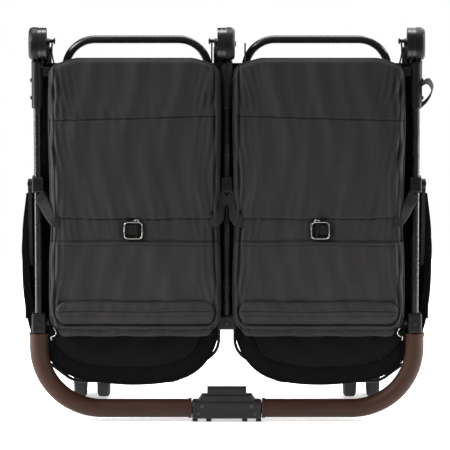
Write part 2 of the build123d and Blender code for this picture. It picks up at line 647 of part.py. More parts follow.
def seat_pad():
    gap = SEAT_RAIL_R + 2.0
    x = (SEAT_X[0] + gap, SEAT_X[1] - gap)
    z = (SEAT_FRONT_Z + gap + 1.0, SEAT_PIVOT_Z - 10.0)
    pad = block(x, (SEAT_Y - 8.0, SEAT_Y + 8.0), z)
    return fillet(pad.edges().filter_by(Axis.Y).group_by(Axis.Z)[0], SEAT_CORNER_R - gap + 1.0)


def calf_rest():
    x = (SEAT_X[0] + 6.0, SEAT_X[1] - 6.0)
    top = SEAT_FRONT_Z - SEAT_RAIL_R - 3.0
    return block(x, (SEAT_Y - 6.0, SEAT_Y + 6.0), (top - CALF_LENGTH, top), 4.0)


# ---- the whole stroller ---------------------------------------------------------------------------
def sided(name, shape):
    """A right-hand piece and its left-hand mirror image, as two nodes."""
    return {name + "_right": shape, name + "_left": mirrored(shape)}


def pieces():
    nodes = {}
    nodes |= sided("rear_leg", rear_leg())
    nodes["rear_leg_centre"] = rear_leg(CENTRE_SHIFT)
    nodes["rear_axle_tube"] = rear_axle_tube()
    nodes["rear_axle_stubs"] = rear_stubs()
    nodes["rear_end_collars"] = rear_end_collars()
    nodes["seat_cross_tube"] = seat_cross_tube()
    nodes["basket"] = basket()
    nodes |= sided("rear_tyre", rear_tyre())
    nodes |= sided("rear_rim", rear_rim())
    nodes["brake_pedal"] = brake_pedal()
    nodes |= sided("front_leg", front_leg())
    nodes["front_leg_centre"] = front_leg(CENTRE_SHIFT)
    nodes["front_cross_tube"] = front_cross_tube()
    nodes["caster_housings"] = both(caster_housing(CASTER_X))
    nodes |= sided("caster_fork", caster_fork(CASTER_X))
    nodes |= sided("front_tyres", front_tyres(CASTER_X))
    nodes |= sided("front_rims", front_rims(CASTER_X))
    nodes |= sided("push_tube", push_tube(PUSH_X, (GRIP_TOP_Z + SOCKET_TOP) / 2 + 0.5))
    nodes["push_tube_centre"] = push_tube(0.0, SOCKET_TOP - 24.0)
    nodes["push_hubs"] = group(both(push_hub(PUSH_X)), push_hub(0.0))
    nodes["hub_pins"] = hub_pins()
    nodes["push_sleeves"] = group(both(push_sleeve(PUSH_X)), push_sleeve(0.0))
    nodes["frame_screws"] = frame_screws()
    nodes["canopy_collars"] = canopy_collars()
    nodes["handle_sockets"] = handle_sockets()
    nodes["tube_end_block"] = tube_end_block()
    nodes["handle_tube"] = handle_tube()
    nodes |= sided("grip", grip())
    nodes["handle_connector"] = handle_connector()
    nodes["connector_cover"] = connector_cover()
    nodes["fold_trigger"] = fold_trigger()
    nodes["strap_loops"] = strap_loops()
    nodes["backrest_brackets"] = backrest_brackets()
    nodes |= sided("canopy_front_bow", canopy_front_bow())
    nodes |= sided("canopy_fabric", canopy_fabric())
    nodes |= sided("backrest", backrest())
    nodes |= sided("recline_buckle", recline_buckle())
    nodes |= sided("recline_strap", recline_strap())
    nodes |= sided("harness", harness())
    nodes |= sided("seat_frame", seat_frame())
    nodes |= sided("seat_pad", seat_pad())
    nodes |= sided("calf_rest", calf_rest())
    return nodes


def main():
    os.makedirs("parts", exist_ok=True)
    place = Pos(0, ORIGIN_SHIFT, 0)
    for name, shape in pieces().items():
        export_step(place * shape, f"parts/{name}.step")


main()
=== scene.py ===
"""Cloth, webbing, grips and finishes for a side-by-side twin stroller that stands folded.

Laid out as an add-on: sizes and colours are properties, and each group of pieces has its own operator.
Every piece is made for the right-hand seat, and mirrored for the left-hand one.
"""
import json
import math

import bmesh
import bpy
import numpy as np
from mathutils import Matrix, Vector


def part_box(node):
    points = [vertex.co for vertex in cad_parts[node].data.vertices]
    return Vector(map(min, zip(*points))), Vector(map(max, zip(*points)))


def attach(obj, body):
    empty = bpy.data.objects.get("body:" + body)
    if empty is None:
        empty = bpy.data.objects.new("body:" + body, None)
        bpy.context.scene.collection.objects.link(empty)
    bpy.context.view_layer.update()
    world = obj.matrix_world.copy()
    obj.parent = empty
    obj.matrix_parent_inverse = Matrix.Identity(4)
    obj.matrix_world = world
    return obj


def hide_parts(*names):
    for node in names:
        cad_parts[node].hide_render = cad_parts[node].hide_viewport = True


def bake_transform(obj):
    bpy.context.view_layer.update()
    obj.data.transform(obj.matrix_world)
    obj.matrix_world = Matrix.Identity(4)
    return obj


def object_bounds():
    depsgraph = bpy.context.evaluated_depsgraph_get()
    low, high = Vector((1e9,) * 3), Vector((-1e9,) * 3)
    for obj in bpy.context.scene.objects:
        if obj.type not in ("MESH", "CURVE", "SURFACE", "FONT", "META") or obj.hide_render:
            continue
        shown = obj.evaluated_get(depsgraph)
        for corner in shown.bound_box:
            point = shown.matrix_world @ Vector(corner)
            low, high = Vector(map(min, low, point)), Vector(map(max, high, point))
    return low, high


bl_info = {
    "name": "Folded twin stroller",
    "version": (1, 0, 0),
    "blender": (4, 5, 0),
    "location": "View3D > Sidebar > Stroller",
    "description": "Builds the soft goods and finishes of a folded twin stroller",
    "category": "Object",
}

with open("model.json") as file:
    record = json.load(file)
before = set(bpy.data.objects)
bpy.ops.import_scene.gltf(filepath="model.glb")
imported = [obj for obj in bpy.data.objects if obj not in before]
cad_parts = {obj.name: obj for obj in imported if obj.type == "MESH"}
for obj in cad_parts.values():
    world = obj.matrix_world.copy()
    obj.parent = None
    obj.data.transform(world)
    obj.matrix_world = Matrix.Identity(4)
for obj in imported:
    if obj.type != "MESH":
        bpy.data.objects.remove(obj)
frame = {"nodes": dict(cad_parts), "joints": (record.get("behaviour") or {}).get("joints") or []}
CAD_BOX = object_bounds()

SIDES = (("right", 1), ("left", -1))
HUB = (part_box("push_hubs")[0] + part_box("push_hubs")[1]) / 2
HUB_Y = HUB.y
HUB_RADIUS = (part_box("push_hubs")[1].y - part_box("push_hubs")[0].y) / 2
FLOOR_Z = CAD_BOX[0].z


# ---- places read from the frame -------------------------------------------------------------------
def joint_place(name):
    """Where a hinge sits, in the row frame."""
    found = next(j for j in frame["joints"] if j["name"] == name)
    return Vector(found["pos_m"])


CANOPY_PIVOT = joint_place("canopy_open_right")


def span(node, axis):
    """Lowest and highest coordinate of a CAD node along one axis."""
    low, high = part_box(node)
    return low[axis], high[axis]


TUBE_X = sum(span("push_tube_right", 0)) / 2   # how far the outer push tubes stand from the middle
PUFF_FRAMES = 20                               # length of each pad's cloth simulation
RIM_POINTS = 190                               # points along the canopy's rim
PANEL_POINTS = range(52, 172)                  # the part of the rim that the canopy's panel follows


# ---- mesh helpers ---------------------------------------------------------------------------------
def make_object(name, points, faces, finish, side=1, smooth=True):
    """A mesh object with its place in its vertices; side -1 mirrors it to the left."""
    points = np.asarray(points, float)
    if side < 0:
        points = points * (-1, 1, 1)
        faces = [tuple(reversed(face)) for face in faces]
    mesh = bpy.data.meshes.new(name)
    mesh.from_pydata([tuple(p) for p in points], [], [tuple(face) for face in faces])
    mesh.validate()
    if smooth:
        mesh.polygons.foreach_set("use_smooth", [True] * len(mesh.polygons))
    obj = bpy.data.objects.new(name, mesh)
    bpy.context.scene.collection.objects.link(obj)
    if finish:
        obj.data.materials.append(finish)
    return obj


def face_out(obj):
    """Turns the faces of a closed mesh outwards."""
    bm = bmesh.new()
    bm.from_mesh(obj.data)
    bmesh.ops.remove_doubles(bm, verts=bm.verts, dist=1e-6)
    bmesh.ops.recalc_face_normals(bm, faces=bm.faces)
    bm.to_mesh(obj.data)
    bm.free()
    obj.data.update()
    return obj


def grid_faces(rows, columns, start=0, wrap=False):
    """Quads of a grid of points listed row by row."""
    faces = []
    last = columns if wrap else columns - 1
    for i in range(rows - 1):
        for j in range(last):
            k = (j + 1) % columns
            a = start + i * columns
            b = a + columns
            faces.append((a + j, a + k, b + k, b + j))
    return faces


def closed_shell(name, us, vs, front, back, finish, side=1):
    """A closed body between two surfaces, front(u, v) and back(u, v), over the same grid."""
    first = [front(u, v) for v in vs for u in us]
    second = [back(u, v) for v in vs for u in us]
    columns, rows = len(us), len(vs)
    shift = len(first)
    faces = grid_faces(rows, columns)
    faces += [tuple(reversed(face)) for face in grid_faces(rows, columns, shift)]
    border = list(range(columns))
    border += [row * columns + columns - 1 for row in range(1, rows)]
    border += [(rows - 1) * columns + j for j in range(columns - 2, -1, -1)]
    border += [row * columns for row in range(rows - 2, 0, -1)]
    for a, b in zip(border, border[1:] + border[:1]):
        faces.append((b, a, a + shift, b + shift))
    return face_out(make_object(name, first + second, faces, finish, side))


def spaced(low, high, count):
    """Evenly spaced values, both ends included."""
    return list(np.linspace(low, high, count))


def lines_near(low, high, step, marks, reach=0.004, fine=0.0008):
    """Grid lines from low to high that are closer together round each mark."""
    lines = set(np.round(np.arange(low, high, step), 6)) | {round(high, 6)}
    for mark in marks:
        near = np.arange(mark - reach, mark + reach + fine / 2, fine)
        lines |= {round(float(x), 6) for x in near if low < x < high}
    return sorted(lines)


def smooth_path(points, count):
    """Evenly spaced points on a smooth curve through given points."""
    points = np.asarray(points, float)
    padded = np.vstack([2 * points[0] - points[1], points, 2 * points[-1] - points[-2]])
    fine = []
    for i in range(1, len(padded) - 2):
        a, b, c, d = padded[i - 1:i + 3]
        for t in np.linspace(0, 1, 24, endpoint=False):
            fine.append(0.5 * (2 * b + (c - a) * t + (2 * a - 5 * b + 4 * c - d) * t ** 2
                               + (3 * b - a - 3 * c + d) * t ** 3))
    fine.append(points[-1])
    fine = np.array(fine)
    along = np.concatenate([[0], np.cumsum(np.linalg.norm(np.diff(fine, axis=0), axis=1))])
    wanted = np.linspace(0, along[-1], count)
    return np.stack([np.interp(wanted, along, fine[:, k]) for k in range(fine.shape[1])], axis=1)


def ribbon(name, path, across, width, thickness, finish, side=1, steps=7):
    """Flat webbing along a path; across is its width direction, or one for each point."""
    path = np.asarray(path, float)
    across = np.asarray(across, float)
    if across.ndim == 1:
        across = np.tile(across, (len(path), 1))
    along = np.gradient(path, axis=0)
    normal = np.cross(along, across)
    normal /= np.maximum(np.linalg.norm(normal, axis=1, keepdims=True), 1e-9)
    across = across / np.linalg.norm(across, axis=1, keepdims=True)

    def surface(sign):
        def at(u, v):
            i = int(v)
            lift = thickness / 2 * math.sqrt(max(0.0, 1 - (u * 0.98) ** 6))
            return path[i] + across[i] * u * width / 2 + normal[i] * lift * sign
        return at
    us = spaced(-1, 1, steps)
    return closed_shell(name, us, range(len(path)), surface(1), surface(-1), finish, side)


def tube(name, path, radius, finish, side=1, around=10, closed=False):
    """A round cord or piping along a path, with closed ends."""
    path = np.asarray(path, float)
    if closed:
        along = np.roll(path, -1, axis=0) - np.roll(path, 1, axis=0)
    else:
        along = np.gradient(path, axis=0)
    along /= np.linalg.norm(along, axis=1, keepdims=True)
    up = np.array([0.0, 0.0, 1.0]) if abs(along[0][2]) < 0.9 else np.array([0.0, 1.0, 0.0])
    points = []
    for place, way in zip(path, along):
        up = up - way * up.dot(way)
        up /= np.linalg.norm(up)
        out = np.cross(way, up)
        for k in range(around):
            turn = 2 * math.pi * k / around
            points.append(place + (up * math.cos(turn) + out * math.sin(turn)) * radius)
    faces = grid_faces(len(path), around, wrap=True)
    if closed:
        last = (len(path) - 1) * around
        faces += [(last + k, last + (k + 1) % around, (k + 1) % around, k) for k in range(around)]
    else:
        faces.append(tuple(range(around))[::-1])
        faces.append(tuple((len(path) - 1) * around + k for k in range(around)))
    return face_out(make_object(name, points, faces, finish, side))


def bake(obj):
    """Applies every modifier of an object to its mesh."""
    evaluated = obj.evaluated_get(bpy.context.evaluated_depsgraph_get())
    mesh = bpy.data.meshes.new_from_object(evaluated)
    obj.modifiers.clear()
    old = obj.data
    obj.data = mesh
    bpy.data.meshes.remove(old)
    return obj


def join(objects):
    """One object from several of the same kind."""
    target = objects[0]
    bm = bmesh.new()
    for item in objects:
        bm.from_mesh(item.data)
    bm.to_mesh(target.data)
    bm.free()
    for item in objects[1:]:
        bpy.data.objects.remove(item)
    target.data.polygons.foreach_set("use_smooth", [True] * len(target.data.polygons))
    return target


def puff(obj, voxel, pressure, cap):
    """Blows a pad up with cloth, then keeps each point within cap of where it was."""
    remesh = obj.modifiers.new("even", "REMESH")
    remesh.mode = "VOXEL"
    remesh.voxel_size = voxel
    bake(obj)
    before = np.array([v.co for v in obj.data.vertices])
    cloth = obj.modifiers.new("air", "CLOTH")
    cloth.settings.use_pressure = True
    cloth.settings.uniform_pressure_force = pressure
    cloth.settings.effector_weights.gravity = 0.0
    cloth.settings.quality = 5
    cloth.settings.tension_stiffness = 25.0
    cloth.settings.compression_stiffness = 8.0
    cloth.settings.bending_stiffness = 1.2
    cloth.point_cache.frame_start = 1
    cloth.point_cache.frame_end = PUFF_FRAMES
    for step in range(1, PUFF_FRAMES + 1):
        bpy.context.scene.frame_set(step)
    bake(obj)
    bpy.context.scene.frame_set(1)
    after = np.array([v.co for v in obj.data.vertices])
    moved = after - before
    length = np.linalg.norm(moved, axis=1, keepdims=True)
    moved *= np.minimum(1.0, cap / np.maximum(length, 1e-9))
    obj.data.vertices.foreach_set("co", (before + moved).ravel())
    smooth = obj.modifiers.new("even_out", "SMOOTH")
    smooth.iterations = 3
    smooth.factor = 0.5
    finer = obj.modifiers.new("finer", "SUBSURF")
    finer.levels = 1
    finer.render_levels = 1
    bake(obj)
    obj.data.polygons.foreach_set("use_smooth", [True] * len(obj.data.polygons))
    return obj


def reshape(obj, move):
    """Moves each vertex by a function of its place."""
    points = np.array([v.co for v in obj.data.vertices])
    normals = np.array([v.normal for v in obj.data.vertices])
    obj.data.vertices.foreach_set("co", move(points, normals).ravel())
    obj.data.update()
    return obj


def squared(value, power):
    """A sine or cosine pushed towards 1 or -1, which makes a circle a rounded square."""
    return math.copysign(abs(value) ** power, value) if abs(value) > 1e-9 else 0.0


def dent(distance, width, depth):
    """Depth of a sewn line at a distance from it."""
    return depth * np.exp(-(np.asarray(distance) / width) ** 2)


# ---- materials ------------------------------------------------------------------------------------
class Finish:
    """A procedural material under construction."""

    def __init__(self, name, colour, roughness, **sockets):
        self.material = bpy.data.materials.new(name)
        self.material.use_nodes = True
        self.tree = self.material.node_tree
        self.shader = self.tree.nodes["Principled BSDF"]
        self.shader.inputs["Base Color"].default_value = (*colour, 1)
        self.shader.inputs["Roughness"].default_value = roughness
        for key, value in sockets.items():
            self.shader.inputs[key.replace("_", " ")].default_value = value
        self.place = self.add("ShaderNodeTexCoord").outputs["Object"]
        self.normal = None

    def add(self, kind, **settings):
        """Adds a node with its settings."""
        node = self.tree.nodes.new(kind)
        for key, value in settings.items():
            setattr(node, key, value)
        return node

    def join(self, output, target):
        """Links an output to a socket."""
        self.tree.links.new(output, target)

    def stretched(self, scale):
        """Object coordinates scaled along each axis."""
        mapping = self.add("ShaderNodeMapping")
        mapping.inputs["Scale"].default_value = scale
        self.join(self.place, mapping.inputs["Vector"])
        return mapping.outputs["Vector"]

    def noise(self, scale, detail=3.0, place=None):
        """Cloudy or grainy variation between 0 and 1."""
        node = self.add("ShaderNodeTexNoise")
        node.inputs["Scale"].default_value = scale
        node.inputs["Detail"].default_value = detail
        node.inputs["Roughness"].default_value = 0.6
        self.join(place or self.place, node.inputs["Vector"])
        return node.outputs["Fac"]

    def wave(self, scale, axis, distortion):
        """Bands across one axis, for ribs and weaves."""
        node = self.add("ShaderNodeTexWave", bands_direction=axis)
        node.inputs["Scale"].default_value = scale
        node.inputs["Distortion"].default_value = distortion
        node.inputs["Detail"].default_value = 1.0
        self.join(self.place, node.inputs["Vector"])
        return node.outputs["Fac"]

    def math(self, operation, first, second):
        """Combines two outputs or numbers."""
        node = self.add("ShaderNodeMath", operation=operation)
        for socket, value in zip(node.inputs, (first, second)):
            if isinstance(value, (int, float)):
                socket.default_value = value
            else:
                self.join(value, socket)
        return node.outputs[0]

    def ramp(self, factor, stops):
        """Turns a factor into a colour through its stops."""
        node = self.add("ShaderNodeValToRGB")
        ramp = node.color_ramp
        while len(ramp.elements) < len(stops):
            ramp.elements.new(0.5)
        for element, (position, colour) in zip(ramp.elements, stops):
            element.position = position
            element.color = (*colour, 1)
        self.join(factor, node.inputs["Fac"])
        return node.outputs["Color"]

    def colour(self, factor, stops):
        """Varies the base colour with a factor."""
        self.join(self.ramp(factor, stops), self.shader.inputs["Base Color"])

    def roughness(self, factor, low, high):
        """Varies the roughness between two values."""
        node = self.add("ShaderNodeMapRange")
        node.inputs["To Min"].default_value = low
        node.inputs["To Max"].default_value = high
        self.join(factor, node.inputs["Value"])
        self.join(node.outputs["Result"], self.shader.inputs["Roughness"])

    def bump(self, height, distance, strength):
        """Adds fine relief on top of any earlier bump."""
        node = self.add("ShaderNodeBump")
        node.inputs["Distance"].default_value = distance
        node.inputs["Strength"].default_value = strength
        self.join(height, node.inputs["Height"])
        if self.normal:
            self.join(self.normal, node.inputs["Normal"])
        self.normal = node.outputs["Normal"]
        self.join(self.normal, self.shader.inputs["Normal"])


def shade(colour, amount):
    """A lighter or darker version of a colour."""
    return tuple(min(1.0, c * amount) for c in colour)


def woven_cloth(name, colour, streak=0.16):
    """Plain-weave polyester with a faint upright slub."""
    cloth = Finish(name, colour, 0.82, Sheen_Weight=0.015, Sheen_Roughness=0.5, Specular_IOR_Level=0.08)
    warp = cloth.wave(620.0, "X", 0.6)
    weft = cloth.wave(620.0, "Z", 0.6)
    weave = cloth.math("MULTIPLY", warp, weft)
    slub = cloth.noise(160.0, 4.0, cloth.stretched((1, 1, 0.06)))
    broad = cloth.noise(9.0, 3.0)
    tone = cloth.math("ADD", cloth.math("MULTIPLY", slub, 0.62), cloth.math("MULTIPLY", broad, 0.38))
    cloth.colour(tone, [(0.3, shade(colour, 1 - streak)), (0.52, colour),
                        (0.72, shade(colour, 1 + streak))])
    cloth.roughness(slub, 0.74, 0.92)
    cloth.bump(weave, 0.0002, 0.6)
    cloth.bump(slub, 0.0004, 0.35)
    return cloth.material


def webbing_weave(name, colour):
    """Flat nylon webbing with fine ribs."""
    strap = Finish(name, colour, 0.6, Sheen_Weight=0.04, Sheen_Roughness=0.4, Specular_IOR_Level=0.2)
    ribs = strap.wave(420.0, "X", 0.3)
    cross = strap.wave(260.0, "Z", 0.3)
    strap.colour(ribs, [(0.2, shade(colour, 0.7)), (0.8, shade(colour, 1.35))])
    strap.bump(strap.math("MULTIPLY", ribs, cross), 0.0004, 0.8)
    strap.roughness(strap.noise(120.0), 0.5, 0.72)
    return strap.material


def coated_tube(name, colour):
    """Satin powder coat with a faint orange peel and lighter rubbed patches."""
    coat = Finish(name, colour, 0.3, Specular_IOR_Level=0.5)
    peel = coat.noise(900.0, 2.0)
    rub = coat.noise(26.0, 5.0)
    coat.colour(rub, [(0.35, shade(colour, 0.8)), (0.6, colour), (0.8, shade(colour, 1.5))])
    coat.roughness(rub, 0.2, 0.34)
    coat.bump(peel, 0.00012, 0.5)
    return coat.material


def moulded_plastic(name, colour, low=0.36, high=0.52):
    """Spark-eroded matt plastic."""
    plastic = Finish(name, colour, low, Specular_IOR_Level=0.2)
    grain = plastic.noise(1400.0, 2.0)
    cloud = plastic.noise(30.0, 4.0)
    plastic.colour(cloud, [(0.3, shade(colour, 0.82)), (0.7, shade(colour, 1.18))])
    plastic.roughness(cloud, low, high)
    plastic.bump(grain, 0.00015, 0.7)
    return plastic.material


def steel(name, colour, roughness):
    """Drawn or turned steel with fine lines."""
    metal = Finish(name, colour, roughness, Metallic=1.0)
    lines = metal.noise(300.0, 3.0, metal.stretched((0.1, 1, 1)))
    metal.roughness(lines, roughness * 0.8, roughness * 1.3)
    metal.colour(lines, [(0.3, shade(colour, 0.85)), (0.7, shade(colour, 1.1))])
    metal.bump(lines, 0.0001, 0.3)
    return metal.material


def pebbled_leather(name, colour):
    """Leatherette: small pebbles, darker in the creases, and a soft sheen where hands hold it."""
    hide = Finish(name, colour, 0.5, Specular_IOR_Level=0.2)
    cells = hide.add("ShaderNodeTexVoronoi", feature="DISTANCE_TO_EDGE")
    cells.inputs["Scale"].default_value = 620.0
    hide.join(hide.place, cells.inputs["Vector"])
    pebble = hide.math("MINIMUM", cells.outputs["Distance"], 0.35)
    blotch = hide.noise(22.0, 5.0)
    fine = hide.noise(420.0, 3.0)
    tone = hide.math("ADD", hide.math("MULTIPLY", blotch, 0.7), hide.math("MULTIPLY", fine, 0.3))
    hide.colour(tone, [(0.3, shade(colour, 0.72)), (0.5, colour), (0.7, shade(colour, 1.3))])
    hide.roughness(blotch, 0.4, 0.62)
    hide.bump(pebble, 0.0005, 0.5)
    hide.bump(fine, 0.0002, 0.4)
    return hide.material


def foam_rubber(name, colour):
    """Solid foam tyre rubber with pits and a little dust."""
    rubber = Finish(name, colour, 0.78, Specular_IOR_Level=0.2)
    pits = rubber.noise(700.0, 4.0)
    dust = rubber.noise(14.0, 5.0)
    rubber.colour(dust, [(0.35, colour), (0.75, shade(colour, 1.6))])
    rubber.roughness(dust, 0.7, 0.9)
    rubber.bump(pits, 0.0003, 0.7)
    return rubber.material


def floor_finish(name, colour):
    """Pale studio floor that gives off a little light of its own."""
    floor = Finish(name, colour, 0.55, Emission_Color=(1, 1, 1, 1), Emission_Strength=0.52)
    cloud = floor.noise(1.2, 2.0)
    floor.colour(cloud, [(0.3, shade(colour, 0.985)), (0.7, colour)])
    floor.roughness(cloud, 0.5, 0.6)
    return floor.material


MATERIALS = {}


def material(name):
    """A finished material by its short name."""
    return MATERIALS[name]


# ---- sizes and colours ----------------------------------------------------------------------------
def length(name, default, description):
    """A property that holds a length in metres."""
    return bpy.props.FloatProperty(name=name, default=default, description=description,
                                   min=0.0, subtype="DISTANCE", unit="LENGTH", precision=4)


def paint(name, default, description):
    """A property that holds a colour."""
    return bpy.props.FloatVectorProperty(name=name, default=default, description=description,
                                         size=3, min=0.0, max=1.0, subtype="COLOR")


class StrollerSizes(bpy.types.PropertyGroup):
    """Sizes of the soft goods"""
    cover: length("Back cover", 0.0095, "Thickness of the backrest's front cover")
    seam: length("Seam depth", 0.0027, "How deep a sewn line pulls the cloth in")
    seam_width: length("Seam width", 0.0022, "Half width of the dip along a sewn line")
    fold: length("Fold depth", 0.0017, "Height of the soft upright folds in stretched cloth")
    binding: length("Binding", 0.009, "Width of the bound edge down each side of a backrest")
    piping: length("Piping", 0.0026, "Radius of the piping on the cloth edges")
    webbing: length("Webbing", 0.025, "Width of the harness and recline webbing")
    web_thickness: length("Webbing thickness", 0.0016, "Thickness of flat webbing")
    stitch: length("Stitch", 0.0024, "Length of one stitch")
    stitch_gap: length("Stitch pitch", 0.0036, "Distance from one stitch to the next")
    puff_cap: length("Puff", 0.005, "How far air may push a pad's face out")
    voxel: length("Cloth grain", 0.006, "Grid size of the simulated cloth")
    canopy_depth: length("Canopy depth", 0.042, "Depth of the folded canopy behind its rear edge")
    elastic: length("Elastic", 0.0015, "Radius of the elastic loops")


class StrollerColours(bpy.types.PropertyGroup):
    """Base colours of the finishes"""
    cloth: paint("Seat cloth", (0.0292, 0.0274, 0.0277), "Charcoal cloth of the seats and backrests")
    canopy: paint("Canopy cloth", (0.0019, 0.0018, 0.0020), "Near-black cloth of the canopies")
    lining: paint("Canopy panel", (0.0040, 0.0040, 0.0046), "Panel inside the folded canopy")
    web: paint("Webbing", (0.0075, 0.0073, 0.0068), "Straps and bindings")
    tube: paint("Tube", (0.0105, 0.0105, 0.0096), "Powder-coated tubes")
    plastic: paint("Plastic", (0.0070, 0.0070, 0.0066), "Moulded hubs, collars and housings")
    connector: paint("Connector", (0.013, 0.013, 0.0142), "Middle of the handle")
    leather: paint("Grip", (0.0340, 0.0138, 0.0074), "Leatherette of the grips")
    rim: paint("Rim", (0.020, 0.020, 0.0212), "Wheel rims")
    tyre: paint("Tyre", (0.009, 0.009, 0.0095), "Foam tyres")
    floor: paint("Floor", (0.93, 0.93, 0.93), "Studio floor plate")


def sizes():
    """The sizes that the user has set."""
    return bpy.context.scene.stroller_sizes


# ---- places of the backrest -----------------------------------------------------------------------
BACK_MID = sum(span("harness_right", 0)) / 2
BACK_HALF = BACK_MID - span("backrest_right", 0)[0]
BACK_FRONT, BACK_REAR = span("backrest_right", 1)
BACK_LOW, BACK_TOP = span("backrest_right", 2)
CHANNEL = sum(span("recline_buckle_right", 2)) / 2
CHANNEL_HALF = 0.0225
CROWN_SEAM = BACK_TOP - 0.105
POCKET_LOW = BACK_LOW + 0.042
COVER_TOP = BACK_TOP + 0.005
COVER_LOW = BACK_LOW - 0.012
HEM_LOW = BACK_LOW - 0.025
SIDE_GROW = 0.0034           # how far the loose cover stands past the padded panel, taken over both sides
COVER_SHIFT = 0.0029         # how much closer the cover sits to the middle of the stroller than its panel
COVER_MID = BACK_MID - COVER_SHIFT
COVER_HALF = BACK_HALF + SIDE_GROW
CORNER = 0.024               # radius of the cover's lower corners


def step_up(distance, reach=0.0005):
    """0 below a line and 1 above it, with a short slope."""
    return 1 / (1 + math.exp(-max(-40.0, min(40.0, distance / reach))))


def crown_line(t):
    """Height of the seam across the cover's crown, at share t of its width."""
    return CROWN_SEAM - 0.0045 * t


def channel_top(t):
    """Upper edge of the channel that the recline webbing runs in."""
    return CHANNEL + CHANNEL_HALF - 0.0012 * math.cos(t * 3) + 0.0006 * math.sin(t * 9)


def channel_low(t):
    """Lower edge of the channel that the recline webbing runs in."""
    return CHANNEL - CHANNEL_HALF + 0.001 * math.cos(t * 4)


def folds(x, z, edge):
    """Soft upright folds, tight beside sewn lines and down the sides."""
    s = sizes()
    wide = x / 0.083 + 0.5 * math.sin(z * 9.0 + 1.0)
    across = x / 0.043 + 0.35 * math.sin(z * 21.0)
    tight = x / 0.019 + 0.4 * math.sin(z * 33.0 + 2.0)
    wave = 0.45 * math.sin(2 * math.pi * across) + 0.55 * math.sin(2 * math.pi * wide)
    over_channel = math.exp(-abs(z - CHANNEL - CHANNEL_HALF) / 0.03) * (z > CHANNEL)
    # tighter folds where a seam gathers the cloth
    pinch = over_channel + 0.6 * math.exp(-abs(z - CROWN_SEAM) / 0.025)
    wave += pinch * (0.55 * math.sin(2 * math.pi * tight) + 0.5 * math.sin(2 * math.pi * across * 1.7))
    # folds that run down beside the bound sides
    near_side = math.exp(-(edge - 0.012) / 0.016) if edge > 0.012 else 1.0
    run = edge / 0.013 + 0.6 * math.sin(z * 11.0 + x * 4) + 0.3 * math.sin(z * 37.0)
    side_fold = near_side * math.sin(2 * math.pi * run)
    # creases that slant in from the upper corners
    from_top = COVER_TOP - z
    pull = math.exp(-((edge - 0.024) / 0.026) ** 2) * math.exp(-((from_top - 0.055) / 0.06) ** 2)
    slant = (edge * 1.0 - from_top * 0.22) / 0.012
    return s.fold * (wave + 1.25 * side_fold + 1.1 * pull * math.sin(2 * math.pi * slant))


def cover_place(t, z):
    """Place in the row frame of a point at share t across the cover and height z."""
    edge = (1 - abs(t)) * COVER_HALF
    shoulder = 0.016 * (max(0.0, abs(t) - 0.68) / 0.32) ** 1.25
    shoulder += 0.010 * (max(0.0, abs(t) - 0.95) / 0.05) ** 2
    rise = float(np.clip((z - COVER_TOP + 0.11) / 0.11, 0, 1))
    lift = 0.0
    if edge < CORNER:
        lift = CORNER - math.sqrt(CORNER ** 2 - (CORNER - edge) ** 2)
    fall = float(np.clip((COVER_LOW + 0.05 - z) / 0.05, 0, 1))
    waist = 0.0022 * math.exp(-((z - CHANNEL) / 0.03) ** 2) + 0.0012 * math.sin(z * 19.0)
    return COVER_MID + t * (COVER_HALF - waist), z - shoulder * rise + lift * fall


def cover_relief(t, z):
    """Height of the cover's front above its flat pattern."""
    s = sizes()
    x = t * COVER_HALF
    edge = (1 - abs(t)) * COVER_HALF
    low = max(z - COVER_LOW, 0.0)
    border = min(edge, low)
    if edge < CORNER and low < CORNER:
        border = CORNER - math.hypot(CORNER - edge, CORNER - low)
    rim = min(max(border, 0.0), COVER_TOP - z)
    # the rolled edge, the folds, and the dip beside the bound sides
    height = -0.0072 * max(0.0, 1 - rim / 0.0075) ** 2
    height += folds(x, z, edge)
    height -= dent(border - s.binding, s.seam_width, s.seam * 1.5)
    # the crown's seam, with the upper layer over the lower one
    height -= dent(z - crown_line(t), s.seam_width * 0.7, s.seam)
    height += 0.0009 * step_up(z - crown_line(t))
    # the channel lies lower than the cloth above and below it, and has a seam along each edge
    height += 0.0022 * step_up(z - channel_top(t)) + 0.0024 * step_up(channel_low(t) - z)
    height -= dent(z - channel_top(t) + 0.0012, s.seam_width, s.seam * 0.8)
    height -= dent(z - channel_low(t) - 0.0012, s.seam_width, s.seam * 0.8)
    height -= dent(z - channel_low(t) + 0.0065, s.seam_width * 0.6, s.seam * 0.5)
    # the channel's cloth gathers behind the buckle and at its ends
    in_band = step_up(channel_top(t) - z) * step_up(z - channel_low(t))
    gather = math.exp(-(x / 0.055) ** 2) * math.sin(2 * math.pi * (x / 0.0095 + 0.3 * math.sin(z * 60)))
    slant = 2 * math.pi * (x / 0.012 - (z - CHANNEL) / 0.05)
    ends = math.exp(-((edge - 0.035) / 0.03) ** 2) * math.sin(slant)
    height += in_band * (0.0008 * gather + 0.0010 * ends)
    # the groove round the zip flap, and the hollow behind the buckle
    flap_half = (POCKET_LOW - BACK_LOW) / 2
    past_end = max(abs(x) - (COVER_HALF - 0.0085 - flap_half), 0.0)
    height -= dent(math.hypot(past_end, z - BACK_LOW - flap_half) - flap_half - 0.0012, 0.0018, 0.0034)
    well = math.exp(-((x - COVER_SHIFT) / 0.019) ** 6 - ((z - CHANNEL) / 0.0185) ** 6)
    height -= well * 0.0045
    # the large panel and the pocket stand out a little in the middle
    puff = math.sin(math.pi * float(np.clip((z - CHANNEL) / (COVER_TOP - CHANNEL), 0, 1))) * (1 - t * t)
    pocket = math.sin(math.pi * float(np.clip((z - POCKET_LOW) / (CHANNEL - POCKET_LOW), 0, 1)))
    return height + 0.0020 * max(puff, 0.0) + 0.0016 * max(pocket, 0.0) * (1 - t ** 4)


